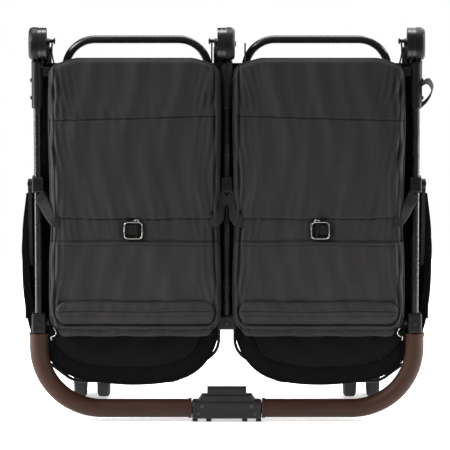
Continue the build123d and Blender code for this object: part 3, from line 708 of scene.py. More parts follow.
def cover_front(t, z):
    """A point of the cover's front surface."""
    x, high = cover_place(t, z)
    return x, BACK_FRONT + 0.0008 - cover_relief(t, z), high


def build_back_cover(side_name, side):
    """The loose cover on the outside of the backrest, with its seams and folds."""
    s = sizes()
    reach = s.binding / COVER_HALF
    ts = lines_near(-1, 1, 0.022, (-1 + reach, 1 - reach), 0.034, 0.006)
    marks = (CROWN_SEAM, CHANNEL + CHANNEL_HALF, CHANNEL - CHANNEL_HALF, CHANNEL - CHANNEL_HALF - 0.0065,
             COVER_LOW + s.binding)
    zs = lines_near(COVER_LOW, COVER_TOP, 0.0042, marks, 0.0068, 0.0008)

    def back(t, z):
        x, high = cover_place(t * 0.985, z)
        return x, BACK_FRONT + s.cover, high
    cover = closed_shell(f"back_cover_{side_name}", ts, zs, cover_front, back, material("cloth"), side)
    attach(cover, f"backrest_{side_name}_body")


def slab(name, low, high, corner, finish, side=1):
    """A rounded block to blow up into a pad."""
    bm = bmesh.new()
    bmesh.ops.create_cube(bm, size=1.0)
    size = np.array(high) - np.array(low)
    middle = (np.array(high) + np.array(low)) / 2
    for vert in bm.verts:
        vert.co = Vector(middle + np.array(vert.co) * size)
    thin = int(np.argmin(size))
    uprights = [e for e in bm.edges if abs((e.verts[0].co - e.verts[1].co)[thin]) > 1e-6]
    bmesh.ops.bevel(bm, geom=uprights, offset=corner, segments=6, affect="EDGES")
    bmesh.ops.bevel(bm, geom=bm.edges[:], offset=min(size) * 0.3, segments=3, affect="EDGES",
                    clamp_overlap=True)
    points = [tuple(v.co) for v in bm.verts]
    bm.verts.index_update()
    faces = [tuple(v.index for v in f.verts) for f in bm.faces]
    bm.free()
    return face_out(make_object(name, points, faces, finish, side))


def build_back_pad(side_name, side):
    """The child's side of the backrest, blown up by cloth and then sewn into channels."""
    s = sizes()
    half = BACK_HALF - 0.006
    low = (BACK_MID - half, BACK_FRONT + s.cover - 0.001, BACK_LOW + 0.004)
    high = (BACK_MID + half, BACK_REAR - 0.0035, BACK_TOP - 0.004)
    pad = slab(f"back_pad_{side_name}", low, high, 0.02, material("cloth"), side)
    puff(pad, s.voxel, 3.0, s.puff_cap * 0.7)

    def quilt(points, normals):
        x = np.abs(points[:, 0]) - BACK_MID
        z = points[:, 2]
        depth = dent(np.abs(x) - half * 0.6, 0.004, 0.003)
        for line in (0.3, 0.52, 0.74):
            height = BACK_LOW + line * (BACK_TOP - BACK_LOW)
            depth += dent(z - height, 0.004, 0.003) * (np.abs(x) < half * 0.6)
        facing = np.clip(normals[:, 1], 0, 1)
        points[:, 1] -= depth * facing
        points[:, 1] = np.minimum(points[:, 1], BACK_REAR - 0.0002)
        points[:, 1] = np.maximum(points[:, 1], BACK_FRONT + 0.005)
        return points
    reshape(pad, quilt)
    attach(pad, f"backrest_{side_name}_body")
    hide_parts(f"backrest_{side_name}")


def build_zip_flap(side_name, side):
    """The rolled, zipped flap across the foot of the pocket, with round ends."""
    low, high = BACK_LOW + 0.001, POCKET_LOW
    middle, half_height = (low + high) / 2, (high - low) / 2
    half = COVER_HALF - 0.0085
    ts = spaced(-1, 1, 161)
    vs = lines_near(-1, 1, 0.08, (-0.28, 0.12, 0.4), 0.12, 0.03)

    def outline(t):
        end = max(0.0, half_height - (1 - abs(t)) * half) / half_height
        return math.sqrt(max(1 - end ** 2, 0.0006))

    def place(t, v):
        x = COVER_MID + t * half
        return x, middle + v * half_height * outline(t) + 0.0008 * math.sin(x * 31.0)

    def front(t, v):
        x, z = place(t, v)
        bulge = 0.0064 * (1 - abs(v) ** 3.4) ** 0.6 * min(1.0, outline(t) + 0.2)
        for line, deep in ((0.12, 0.0020), (-0.28, 0.0010), (0.4, 0.0008)):
            bulge -= dent(v - line, 0.045, deep)
        bulge += 0.0004 * math.sin(x * 260.0 + 3 * v) + 0.0006 * math.sin(x * 97.0 + v)
        return x, BACK_FRONT - 0.0016 - bulge, z

    def back(t, v):
        x, z = place(t, v)
        return x, BACK_FRONT + 0.003, z
    flap = closed_shell(f"zip_flap_{side_name}", ts, vs, front, back, material("cloth"), side)
    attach(flap, f"backrest_{side_name}_body")


def build_hem(side_name, side):
    """The lower layer that hangs a little below the cover."""
    half = COVER_HALF - 0.014
    ts = spaced(-1, 1, 141)
    vs = spaced(0, 1, 15)

    def at(t, v):
        corner = 0.010 * max(0.0, (abs(t) - 0.93) / 0.07) ** 2
        low = HEM_LOW + corner + 0.0006 * math.sin(t * 11.0)
        z = low + v * (BACK_LOW + 0.012 - low)
        ripple = 0.0006 * math.sin(t * 23.0 + 1.0) + 0.0004 * math.sin(t * 51.0)
        roll = 0.0026 * math.exp(-((v - 0.12) / 0.1) ** 2)
        return COVER_MID + t * half, BACK_FRONT + 0.0055 - ripple - roll, z

    def behind(t, v):
        x, y, z = at(t, v)
        return x, y + 0.0026, z
    hem = closed_shell(f"hem_{side_name}", ts, vs, at, behind, material("cloth"), side)
    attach(hem, f"backrest_{side_name}_body")


def build_corner_hook(side_name, side):
    """The small bent wire hook at the lower outer corner, where the cover clips to the frame."""
    x, y = COVER_MID + COVER_HALF - 0.0085, BACK_FRONT - 0.0005
    path = [(x + 0.0035, y, COVER_LOW + 0.004), (x - 0.001, y - 0.001, COVER_LOW - 0.004),
            (x + 0.002, y - 0.0015, COVER_LOW - 0.011), (x + 0.0085, y - 0.001, COVER_LOW - 0.0135),
            (x + 0.0075, y, COVER_LOW - 0.0195)]
    wire = tube(f"corner_hook_{side_name}", smooth_path(path, 48), 0.0009, material("bright"), side, 8)
    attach(wire, f"backrest_{side_name}_body")


def build_piping(side_name, side):
    """Dark piping round the whole cover, behind its rolled edge."""
    s = sizes()
    back = BACK_FRONT + s.cover
    points = [cover_place(-1, z) for z in spaced(COVER_LOW, COVER_TOP, 50)]
    points += [cover_place(t, COVER_TOP) for t in spaced(-0.98, 0.98, 70)]
    points += [cover_place(1, z) for z in spaced(COVER_TOP, COVER_LOW, 50)]
    points += [cover_place(t, COVER_LOW) for t in spaced(0.98, -0.98, 70)]
    path = smooth_path([(x, back - 0.001, z) for x, z in points], 420)[:-1]
    cord = tube(f"piping_{side_name}", path, s.piping, material("binding"), side, 8, closed=True)
    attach(cord, f"backrest_{side_name}_body")


def build_channel_web(side_name, side):
    """Webbing threaded through the ladder buckle, and the buckle's bright wire edge."""
    s = sizes()
    reach = 0.0195
    path = []
    for t in spaced(-1, 1, 31):
        dive = 0.0042 * max(0.0, (abs(t) - 0.7) / 0.3) ** 2
        over = 0.0016 * math.exp(-((t + 0.33) / 0.2) ** 2)
        path.append((BACK_MID + t * reach, BACK_FRONT - 0.0002 + dive - over, CHANNEL))
    web = ribbon(f"channel_web_{side_name}", path, (0, 0, 1), s.webbing, s.web_thickness,
                 material("web"), side)
    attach(web, f"backrest_{side_name}_body")
    low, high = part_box("recline_buckle_right")
    front = low.y - 0.0004
    half_x, half_z = (high.x - low.x) / 2 - 0.0014, (high.z - low.z) / 2 - 0.0014
    roundness, wire_radius = 0.36, 0.00125
    ring = []
    for turn in np.linspace(0, 2 * math.pi, 97)[:-1]:
        x = BACK_MID + half_x * squared(math.cos(turn), roundness)
        z = CHANNEL + half_z * squared(math.sin(turn), roundness)
        ring.append((x, front - 0.0006 * math.cos(2 * turn), z))
    wire = tube("wire", ring, wire_radius, material("bright"), side, 10, closed=True)
    tab_path = [(BACK_MID - 0.011, front, high.z - 0.001),
                (BACK_MID - 0.0085, front - 0.0006, high.z + 0.0035),
                (BACK_MID - 0.001, front - 0.0004, high.z + 0.0015)]
    tab = tube("tab", smooth_path(tab_path, 20), 0.0011, material("bright"), side, 8)
    edge = join([wire, tab])
    edge.name = f"buckle_wire_{side_name}"
    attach(edge, f"backrest_{side_name}_body")


def build_recline_straps(side_name, side):
    """Webbing from the channel's two ends round the push tubes, and the folded end that hangs there."""
    s = sizes()
    front = HUB_Y - 0.0165
    for key, edge, target in (("outer", COVER_MID + COVER_HALF - 0.006, TUBE_X - 0.0085),
                              ("inner", COVER_MID - COVER_HALF + 0.006, 0.0085)):
        way = 1 if target > edge else -1
        points = [(edge - way * 0.012, BACK_FRONT + 0.0012, CHANNEL + 0.016),
                  (edge, BACK_FRONT - 0.0002, CHANNEL + 0.020),
                  (edge + way * 0.009, BACK_FRONT + 0.003, CHANNEL + 0.032),
                  (target - way * 0.002, front, CHANNEL + 0.052),
                  (target + way * 0.006, front + 0.0005, CHANNEL + 0.066)]
        path = smooth_path(points, 36)
        lean = np.array([way * 0.62, 0.0, -0.78])
        shares = np.linspace(0, 1, 36)[:, None] ** 0.5
        across = np.array([0, 0, 1.0]) * (1 - shares) - lean * shares
        strap = ribbon(f"recline_web_{key}_{side_name}", path, across, s.webbing, s.web_thickness,
                       material("web"), side)
        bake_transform(strap)
    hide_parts(f"recline_strap_{side_name}")


def build_harness(side_name, side):
    """Shoulder straps with pads, waist straps and the buckle on the child's side."""
    s = sizes()
    face = BACK_REAR
    low, high = span("harness_right", 2)
    parts = []
    for way in (-1, 1):
        x = BACK_MID + way * 0.062
        waist = BACK_MID + way * 0.017
        path = [(x, face + 0.0012, low - 0.02), (x, face + 0.0022, low + 0.02),
                (x, face + 0.0026, low + 0.13), (x - way * 0.004, face + 0.0024, high - 0.12),
                (waist, face + 0.0036, high - 0.03)]
        parts.append(ribbon("strap", smooth_path(path, 50), (1, 0, 0), s.webbing, s.web_thickness,
                            material("web"), side))
        belt = [(BACK_MID + way * 0.118, face + 0.001, high - 0.022),
                (BACK_MID + way * 0.07, face + 0.0024, high - 0.016),
                (waist, face + 0.0038, high - 0.016)]
        parts.append(ribbon("belt", smooth_path(belt, 30), (0, 0, 1), s.webbing, s.web_thickness,
                            material("web"), side))
    straps = join(parts)
    straps.name = f"harness_straps_{side_name}"
    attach(straps, f"backrest_{side_name}_body")
    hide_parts(f"harness_{side_name}")
    pads = []
    for way in (-1, 1):
        x = BACK_MID + way * 0.062

        def outline(v):
            return math.sqrt(max(1 - abs(v) ** 6, 0.002))

        def front(u, v, x=x):
            y = face + 0.0036 + 0.0036 * (1 - abs(u) ** 3) * outline(v)
            y -= dent(abs(u) - 0.8, 0.07, 0.0008)
            return x + u * 0.0185 * outline(v), y, low + 0.085 + v * 0.07

        def back(u, v, x=x):
            return x + u * 0.0185 * outline(v), face + 0.0034, low + 0.085 + v * 0.07
        pads.append(closed_shell("shoulder", spaced(-1, 1, 23), spaced(-1, 1, 61), front, back,
                                 material("cloth"), side))
    cushion = join(pads)
    cushion.name = f"shoulder_pads_{side_name}"
    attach(cushion, f"backrest_{side_name}_body")

    def shell(u, v, lift):
        radius = 0.0215 * (1 - 0.12 * abs(v) ** 3)
        x = BACK_MID + u * radius * math.sqrt(max(1 - abs(v) ** 5, 0.01))
        return x, face + 0.0032 + lift, high - 0.022 + v * 0.0215 * math.sqrt(max(1 - abs(u) ** 5, 0.01))

    def top(u, v):
        button = 0.0014 * math.exp(-((u * u + v * v) / 0.16) ** 3)
        ring = 0.0011 * math.exp(-(((u * u + v * v) ** 0.5 - 0.52) / 0.07) ** 2)
        return shell(u, v, 0.0068 * (1 - (u * u + v * v) / 2.6) + button - ring)
    buckle = closed_shell(f"harness_buckle_{side_name}", spaced(-1, 1, 41), spaced(-1, 1, 41), top,
                          lambda u, v: shell(u, v, 0.0), material("plastic"), side)
    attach(buckle, f"backrest_{side_name}_body")


def build_seat_pad(side_name, side):
    """The seat pad between its rails, blown up by cloth and sewn into channels."""
    s = sizes()
    low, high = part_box("seat_pad_right")
    inset = 0.003
    start = (low.x + inset, low.y + 0.004, low.z + inset)
    end = (high.x - inset, high.y - 0.004, high.z - inset)
    pad = slab(f"seat_cushion_{side_name}", start, end, 0.036, material("cloth"), side)
    puff(pad, s.voxel, 4.0, s.puff_cap)
    middle = (low + high) / 2
    half = (high - low) / 2

    def quilt(points, normals):
        x = np.abs(points[:, 0]) - middle.x
        z = points[:, 2] - middle.z
        depth = dent(np.abs(x) - half.x * 0.72, 0.0045, 0.0042)
        for line in (-0.45, 0.05, 0.55):
            depth += dent(z - line * half.z, 0.0045, 0.0042) * (np.abs(x) < half.x * 0.72)
        points[:, 1] += depth * np.clip(-normals[:, 1], 0, 1)
        points[:, 1] = np.clip(points[:, 1], low.y - 0.0015, high.y + 0.0015)
        return points
    reshape(pad, quilt)
    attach(pad, f"seat_{side_name}")
    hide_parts(f"seat_pad_{side_name}")
    path = [(middle.x, low.y - 0.001, middle.z + 0.06), (middle.x, low.y - 0.0032, middle.z + 0.02),
            (middle.x, low.y - 0.0036, middle.z - 0.05), (middle.x, low.y - 0.0022, middle.z - 0.085)]
    crotch = ribbon(f"crotch_strap_{side_name}", smooth_path(path, 30), (1, 0, 0), s.webbing,
                    s.web_thickness, material("web"), side)
    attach(crotch, f"seat_{side_name}")


def build_seat_wraps(side_name, side):
    """Cloth sleeves that hold the seat pad to its two rails."""
    low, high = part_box("seat_pad_right")
    frame_low, frame_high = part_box("seat_frame_right")
    radius, rail_radius = 0.0092, 0.0075
    rail_y = sum(span("calf_rest_right", 1)) / 2
    sleeves = []
    for rail, pad_edge in ((frame_low.x + rail_radius, low.x), (frame_high.x - rail_radius, high.x)):
        way = 1 if pad_edge > rail else -1

        def at(u, v, grow, rail=rail, way=way):
            turn = math.pi * (0.18 + 1.64 * u)
            x = rail + way * math.cos(turn) * (radius + grow)
            y = rail_y + math.sin(turn) * (radius + grow)
            pull = max(0.0, abs(u - 0.5) * 2 - 0.82) / 0.18
            x += way * pull * 0.007
            z = low.z + 0.045 + v * (high.z - low.z - 0.06)
            y += 0.0004 * math.sin(z * 310.0 + 5 * u)
            return x, y, z
        sleeves.append(closed_shell("sleeve", spaced(0, 1, 25), spaced(0, 1, 60),
                                    lambda u, v, at=at: at(u, v, 0.0014),
                                    lambda u, v, at=at: at(u, v, 0.0), material("cloth"), side))
    wraps = join(sleeves)
    wraps.name = f"rail_sleeves_{side_name}"
    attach(wraps, f"seat_{side_name}")


def build_calf_rest(side_name, side):
    """The calf rest, blown up by cloth and sewn into upright channels."""
    s = sizes()
    low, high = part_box("calf_rest_right")
    inset = 0.003
    start = (low.x + inset, low.y + 0.003, low.z + inset)
    end = (high.x - inset, high.y - 0.003, high.z - inset)
    pad = slab(f"calf_cushion_{side_name}", start, end, 0.02, material("cloth"), side)
    puff(pad, s.voxel, 3.5, s.puff_cap * 0.8)
    middle = (low + high) / 2
    half = (high - low) / 2

    def quilt(points, normals):
        depth = 0.0
        for line in (-0.5, 0.0, 0.5):
            depth = depth + dent(np.abs(points[:, 0]) - middle.x - line * half.x, 0.004, 0.003)
        points[:, 1] += depth * np.clip(-normals[:, 1], 0, 1)
        points[:, 1] = np.clip(points[:, 1], low.y - 0.001, high.y + 0.001)
        return points
    reshape(pad, quilt)
    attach(pad, f"calf_{side_name}")
    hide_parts(f"calf_rest_{side_name}")


# ---- canopy ---------------------------------------------------------------------------------------
ARM_X = span("canopy_front_bow_right", 0)
BOW_LOW = span("canopy_front_bow_right", 2)[0]
BOW_BACK = span("canopy_front_bow_right", 1)[1]
CANOPY_WIDE = span("canopy_fabric_right", 0)[1]
CANOPY_THIN = span("canopy_fabric_right", 0)[0]
CANOPY_FACE = span("canopy_fabric_right", 1)[0]
CANOPY_FLOOR = span("canopy_fabric_right", 2)[0]
TILT = math.atan2(BOW_BACK - 0.003 - HUB_Y, CANOPY_PIVOT.z - BOW_LOW)


def canopy_line():
    """The canopy's rim as seen from the front: x and drop below the pivot, from outer to inner arm."""
    drop = CANOPY_PIVOT.z - CANOPY_FLOOR - 0.002
    inner = CANOPY_THIN
    points = [(ARM_X[1] + 0.0035, 0.018), (CANOPY_WIDE - 0.003, 0.075), (CANOPY_WIDE - 0.0005, 0.15),
              (CANOPY_WIDE - 0.004, 0.22), (ARM_X[1] - 0.004, 0.284), (0.336, 0.336), (0.294, 0.368),
              (0.235, drop - 0.004), (0.175, drop), (0.117, drop - 0.004), (0.068, 0.366), (0.034, 0.334),
              (0.0165, 0.285), (inner + 0.010, 0.20), (inner + 0.0105, 0.11), (inner + 0.0105, 0.022)]
    return smooth_path(points, RIM_POINTS)


def inward(line):
    """Unit vectors into the canopy at each point of its rim."""
    along = np.gradient(line, axis=0)
    along /= np.linalg.norm(along, axis=1, keepdims=True)
    return np.stack([-along[:, 1], along[:, 0]], axis=1)


def build_canopy_cloth(side_name, side):
    """The folded canopy: one sheet that runs from its rear edge to the bow in loose pleats."""
    line = canopy_line()
    into = inward(line)
    count = len(line)
    middle = np.interp(range(count), (0, 40, 95, 150, count - 1), (0.1, 0.6, 1, 0.6, 0.1))
    ws = spaced(0, 1, 41)
    slope = math.tan(TILT)

    def at(i, w, grow):
        x, drop = line[i]
        pleat = math.sin(math.pi * w * 3.0) ** 2
        depth = (0.004 + 0.019 * middle[i]) * pleat
        wrinkle = 0.0016 * middle[i] * math.sin(i * 0.43 + 7 * w) + 0.001 * math.sin(i * 0.17 + 4 * w)
        shift = depth + wrinkle * math.sin(math.pi * w) + grow
        rear = CANOPY_FACE - HUB_Y + 0.0008 * math.sin(i * 0.31)
        front = slope * drop + 0.004
        rear = min(rear, front - 0.006)
        if drop < 0.3:
            rear = min(rear, 0.0065 + drop * 0.045)
        y = HUB_Y + rear + (front - rear) * w
        return x + into[i][0] * shift, y, CANOPY_PIVOT.z - (drop + into[i][1] * shift)
    cloth = closed_shell(f"canopy_cloth_{side_name}", range(count), ws, lambda i, w: at(i, w, 0.0),
                         lambda i, w: at(i, w, 0.0011), material("canopy"), side)
    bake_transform(cloth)
    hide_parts(f"canopy_fabric_{side_name}")


def build_canopy_panel(side_name, side):
    """The panel inside the folded canopy, with a curved lower edge, and its black bound border."""
    line = canopy_line()
    into = inward(line)
    pivot_z = CANOPY_PIVOT.z
    count = len(PANEL_POINTS)
    top = span("calf_rest_right", 2)[0] - 0.012
    vs = spaced(0, 1, 60)

    def border(i):
        x, drop = line[i]
        wide = 0.026 + 0.008 * math.sin(math.pi * (i - PANEL_POINTS[0]) / count)
        return x + into[i][0] * wide, pivot_z - (drop + into[i][1] * wide)

    def at(k, v, grow):
        i = PANEL_POINTS[int(k)]
        x, z = border(i)
        z_to = max(top, z)
        x_to = BACK_MID + (x - BACK_MID) * 0.985
        ease = v ** 1.1
        px = x + (x_to - x) * ease
        pz = z + (z_to - z) * ease
        sag = 0.004 * math.sin(math.pi * min(v * 1.3, 1.0))
        crease = 0.0011 * math.sin(px * 70.0 + 9 * v) + 0.0009 * math.sin(px * 131.0 + 2.0)
        return px, CANOPY_FACE + 0.0045 - sag + crease + grow, pz
    panel = closed_shell(f"canopy_panel_{side_name}", range(count), vs, lambda k, v: at(k, v, 0.0),
                         lambda k, v: at(k, v, 0.0012), material("lining"), side)
    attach(panel, "push_frame")

    def band(k, v, grow):
        i = PANEL_POINTS[int(k)]
        x, drop = line[i]
        bx, bz = border(i)
        ox, oz = x + into[i][0] * 0.001, pivot_z - (drop + into[i][1] * 0.001)
        round_over = math.sin(math.pi * v)
        pucker = 0.0007 * math.sin(i * 1.3) * round_over
        return (ox + (bx - ox) * v, CANOPY_FACE + 0.0046 - 0.0052 * round_over ** 0.7 - pucker + grow,
                oz + (bz - oz) * v)
    binding = closed_shell(f"canopy_border_{side_name}", range(count), spaced(0, 1, 15),
                           lambda k, v: band(k, v, 0.0), lambda k, v: band(k, v, 0.0012),
                           material("canopy"), side)
    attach(binding, "push_frame")


def build_canopy_rear(side_name, side):
    """The canopy's rear cloth, which closes the gaps between the tubes, the arms and the backrest."""
    inner = 0.0004
    tube_edge = span("push_tube_right", 0)[1]
    low = span("handle_sockets", 2)[1] - 0.016
    collar_low = span("canopy_collars", 2)[0]
    high = BACK_TOP - 0.006
    us = spaced(0, 1, 110)
    vs = lines_near(0, 1, 0.013, ((collar_low - low) / (high - low),), 0.03, 0.006)

    def at(u, v, grow):
        z = low + v * (high - low)
        below_collar = step_up(collar_low - 0.006 - z, 0.004)
        drop = CANOPY_PIVOT.z - z
        rim = np.interp(drop, (0.018, 0.075, 0.15, 0.22),
                        (ARM_X[1] + 0.004, CANOPY_WIDE - 0.0025, CANOPY_WIDE - 0.001, CANOPY_WIDE - 0.004))
        outer = tube_edge - 0.001 + below_collar * (rim - tube_edge)
        x = inner + u * (outer - inner)
        crease = 0.0005 * math.sin(x * 88.0 + 3 * v) + 0.0003 * math.sin(x * 190.0 + z * 30)
        return x, HUB_Y + 0.0180 + crease + grow, z
    cloth = closed_shell(f"canopy_rear_{side_name}", us, vs, lambda u, v: at(u, v, 0.0),
                         lambda u, v: at(u, v, 0.0011), material("canopy"), side)
    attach(cloth, "push_frame")


# ---- stitches -------------------------------------------------------------------------------------
def stitch_tree():
    """Node tree that lays short stitches along the edges of a mesh."""
    tree = bpy.data.node_groups.new("stitch_run", "GeometryNodeTree")
    face = tree.interface
    face.new_socket(name="Seam", in_out="INPUT", socket_type="NodeSocketGeometry")
    for name in ("Pitch", "Stitch", "Thread"):
        face.new_socket(name=name, in_out="INPUT", socket_type="NodeSocketFloat")
    face.new_socket(name="Finish", in_out="INPUT", socket_type="NodeSocketMaterial")
    face.new_socket(name="Stitches", in_out="OUTPUT", socket_type="NodeSocketGeometry")
    kinds = {"given": "NodeGroupInput", "curve": "GeometryNodeMeshToCurve",
             "even": "GeometryNodeResampleCurve", "way": "GeometryNodeInputTangent",
             "turn": "FunctionNodeAlignRotationToVector", "stitch": "GeometryNodeMeshCylinder",
             "place": "GeometryNodeInstanceOnPoints", "real": "GeometryNodeRealizeInstances",
             "finish": "GeometryNodeSetMaterial", "out": "NodeGroupOutput"}
    n = {key: tree.nodes.new(kind) for key, kind in kinds.items()}
    n["even"].mode = "LENGTH"
    n["turn"].axis = "Z"
    n["stitch"].inputs["Vertices"].default_value = 6
    join_up = tree.links.new
    join_up(n["given"].outputs["Seam"], n["curve"].inputs["Mesh"])
    join_up(n["curve"].outputs["Curve"], n["even"].inputs["Curve"])
    join_up(n["given"].outputs["Pitch"], n["even"].inputs["Length"])
    join_up(n["way"].outputs["Tangent"], n["turn"].inputs["Vector"])
    join_up(n["given"].outputs["Stitch"], n["stitch"].inputs["Depth"])
    join_up(n["given"].outputs["Thread"], n["stitch"].inputs["Radius"])
    join_up(n["even"].outputs["Curve"], n["place"].inputs["Points"])
    join_up(n["stitch"].outputs["Mesh"], n["place"].inputs["Instance"])
    join_up(n["turn"].outputs["Rotation"], n["place"].inputs["Rotation"])
    join_up(n["place"].outputs["Instances"], n["real"].inputs["Geometry"])
    join_up(n["real"].outputs["Geometry"], n["finish"].inputs["Geometry"])
    join_up(n["given"].outputs["Finish"], n["finish"].inputs["Material"])
    join_up(n["finish"].outputs["Geometry"], n["out"].inputs["Stitches"])
    return tree


def sew(name, seams, body, thread="thread", side=1, radius=0.00035):
    """Stitches along each seam, as one piece on one body."""
    s = sizes()
    points, edges = [], []
    for seam in seams:
        start = len(points)
        points += [(side * x, y, z) for x, y, z in seam]
        edges += [(start + i, start + i + 1) for i in range(len(seam) - 1)]
    mesh = bpy.data.meshes.new(name)
    mesh.from_pydata(points, edges, [])
    obj = bpy.data.objects.new(name, mesh)
    bpy.context.scene.collection.objects.link(obj)
    tree = bpy.data.node_groups.get("stitch_run") or stitch_tree()
    modifier = obj.modifiers.new("stitches", "NODES")
    modifier.node_group = tree
    values = {"Pitch": s.stitch_gap, "Stitch": s.stitch, "Thread": radius, "Finish": material(thread)}
    for item in tree.interface.items_tree:
        if item.in_out == "INPUT" and item.name in values:
            modifier[item.identifier] = values[item.name]
    obj.update_tag()
    bpy.context.view_layer.update()
    bake(obj)
    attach(obj, body)
    return obj


def build_cover_stitches(side_name, side):
    """Rows of stitches beside the cover's seams and down its bound sides."""
    s = sizes()
    lift = 0.00015
    lines = ((crown_line, -0.0034), (crown_line, 0.0034), (channel_top, 0.0034), (channel_low, -0.0040),
             (channel_low, -0.0090))
    inner = 1 - (s.binding + 0.004) / COVER_HALF
    seams = []
    for line, offset in lines:
        seam = [cover_front(t, line(t) + offset) for t in spaced(-inner, inner, 160)]
        seams.append([(x, y - lift, z) for x, y, z in seam])
    for t in (-inner, inner):
        seam = [cover_front(t, z) for z in spaced(POCKET_LOW + 0.006, COVER_TOP - 0.02, 200)]
        seams.append([(x, y - lift, z) for x, y, z in seam])
    sew(f"cover_stitches_{side_name}", seams, f"backrest_{side_name}_body", side=side)


def build_grip_stitches(side_name, side):
    """The grip's closing seam along the back of the handle."""
    low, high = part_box("grip_right")
    radius = 0.0175
    corner = 0.118
    x, z = TUBE_X, low.z + radius + 0.0016
    y = HUB_Y + radius + 0.0002
    turn = [math.radians(a) for a in spaced(0, 90, 60)]
    path = [(x, y, h) for h in spaced(high.z - 0.008, z + corner, 30)]
    path += [(x - corner + corner * math.cos(a), y, z + corner - corner * math.sin(a)) for a in turn[1:]]
    path += [(h, y, z) for h in spaced(x - corner, low.x + 0.010, 60)[1:]]
    sew(f"grip_stitches_{side_name}", [path], "push_frame", "grip_thread", side, 0.0005)


# ---- basket, loops and hub washers ----------------------------------------------------------------
def build_basket():
    """A sagging cloth basket with a bound rim."""
    low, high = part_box("basket")
    middle = (low + high) / 2
    half = (high - low) / 2
    around = 240
    heights = spaced(0, 1, 26)

    def ring(turn, v, inset):
        angle = 2 * math.pi * turn / around
        x, y = squared(math.cos(angle), 0.16), squared(math.sin(angle), 0.55)
        narrow = 1 - 0.06 * (1 - v) ** 2 - 0.10 * math.sin(math.pi * v) * abs(y) * 0.3
        ripple = 0.0012 * math.sin(angle * 26) * math.sin(math.pi * v) ** 0.5
        sag = 0.006 * (1 - abs(x) ** 2) * v
        px = middle.x + x * (half.x * (1 - 0.03 * (1 - v)) - inset)
        py = middle.y + y * (half.y * narrow - inset - 0.0015) + ripple
        return px, py, low.z + 0.0015 + inset * (1 - v) + v * (high.z - low.z - 0.003) - sag
    points = []
    for v in heights:
        points += [ring(k, v, 0.0) for k in range(around)]
    for v in reversed(heights):
        points += [ring(k, v, 0.0018) for k in range(around)]
    faces = grid_faces(2 * len(heights), around, wrap=True)
    inner_start = (2 * len(heights) - 1) * around
    faces += [tuple(reversed(range(around))), tuple(range(inner_start, inner_start + around))]
    bag = make_object("basket_bag", points, faces, material("mesh_cloth"))
    bm = bmesh.new()
    bm.from_mesh(bag.data)
    bmesh.ops.triangulate(bm, faces=[f for f in bm.faces if len(f.verts) > 4])
    bmesh.ops.recalc_face_normals(bm, faces=bm.faces)
    bm.to_mesh(bag.data)
    bm.free()
    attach(bag, "rear_frame")
    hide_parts("basket")
    rim = [ring(k, 1.0, 0.0009) for k in range(around)]
    edge = tube("basket_rim", rim, 0.0024, material("binding"), 1, 8, closed=True)
    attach(edge, "rear_frame")


def build_loops():
    """Elastic loops over the hub pegs, and the webbing loop on the right-hand sleeve."""
    s = sizes()
    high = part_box("strap_loops")[1]
    peg_z = HUB.z + 0.005
    outer_x = span("push_hubs", 0)[1] - 0.0431
    centre_x = outer_x - TUBE_X
    strands = []
    for x, lean in ((outer_x, -0.004), (-outer_x, 0.004), (centre_x, 0.0), (-centre_x + 0.006, 0.0)):
        path = [(x + lean, HUB_Y - 0.012, BACK_TOP - 0.004), (x, HUB_Y - 0.0065, peg_z - 0.014),
                (x, HUB_Y - 0.0048, peg_z), (x, HUB_Y, peg_z + 0.0048), (x, HUB_Y + 0.0048, peg_z),
                (x - lean, HUB_Y + 0.004, peg_z - 0.014), (x - lean * 2, HUB_Y - 0.009, BACK_TOP - 0.004)]
        strands.append(tube("elastic", smooth_path(path, 60), s.elastic, material("web"), 1, 8))
    loops = join(strands)
    loops.name = "elastic_loops"
    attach(loops, "push_frame")
    sleeve_x = span("push_sleeves", 0)[1]
    start = span("push_sleeves", 2)[1] - 0.040
    steps = ((sleeve_x - 0.003, -0.014, -0.004), (sleeve_x + 0.004, -0.014, 0.002),
             (high.x - 0.008, -0.011, 0.003), (high.x - 0.001, -0.006, -0.009),
             (high.x - 0.004, -0.001, -0.023), (high.x - 0.011, 0.001, -0.034),
             (sleeve_x + 0.002, 0.003, -0.041), (sleeve_x - 0.002, 0.005, -0.042))
    path = [(x, HUB_Y + y, start + z) for x, y, z in steps]
    across = np.array([0.2, 0.86, 0.47])
    carry = ribbon("carry_loop", smooth_path(path, 90), across, 0.019, 0.0026, material("web"), steps=9)
    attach(carry, "push_frame")
    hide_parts("strap_loops")


def hub_discs(row):
    """The x range of each disc of the hub at one push tube, from the CAD meshes near the hub's axis."""
    ranges = []
    for node, obj in frame["nodes"].items():
        if not node.startswith(("push_hubs", "front_leg", "rear_leg")):
            continue
        points = np.empty(len(obj.data.vertices) * 3)
        obj.data.vertices.foreach_get("co", points)
        points = points.reshape(-1, 3)
        reach = np.hypot(points[:, 1] - HUB_Y, points[:, 2] - HUB.z)
        above_pin = points[:, 2] > HUB.z + 0.008
        chosen = (reach < HUB_RADIUS) & above_pin & (np.abs(points[:, 0] - row) < 0.06)
        if chosen.any():
            ranges.append((points[chosen, 0].min(), points[chosen, 0].max()))
    return sorted(ranges)


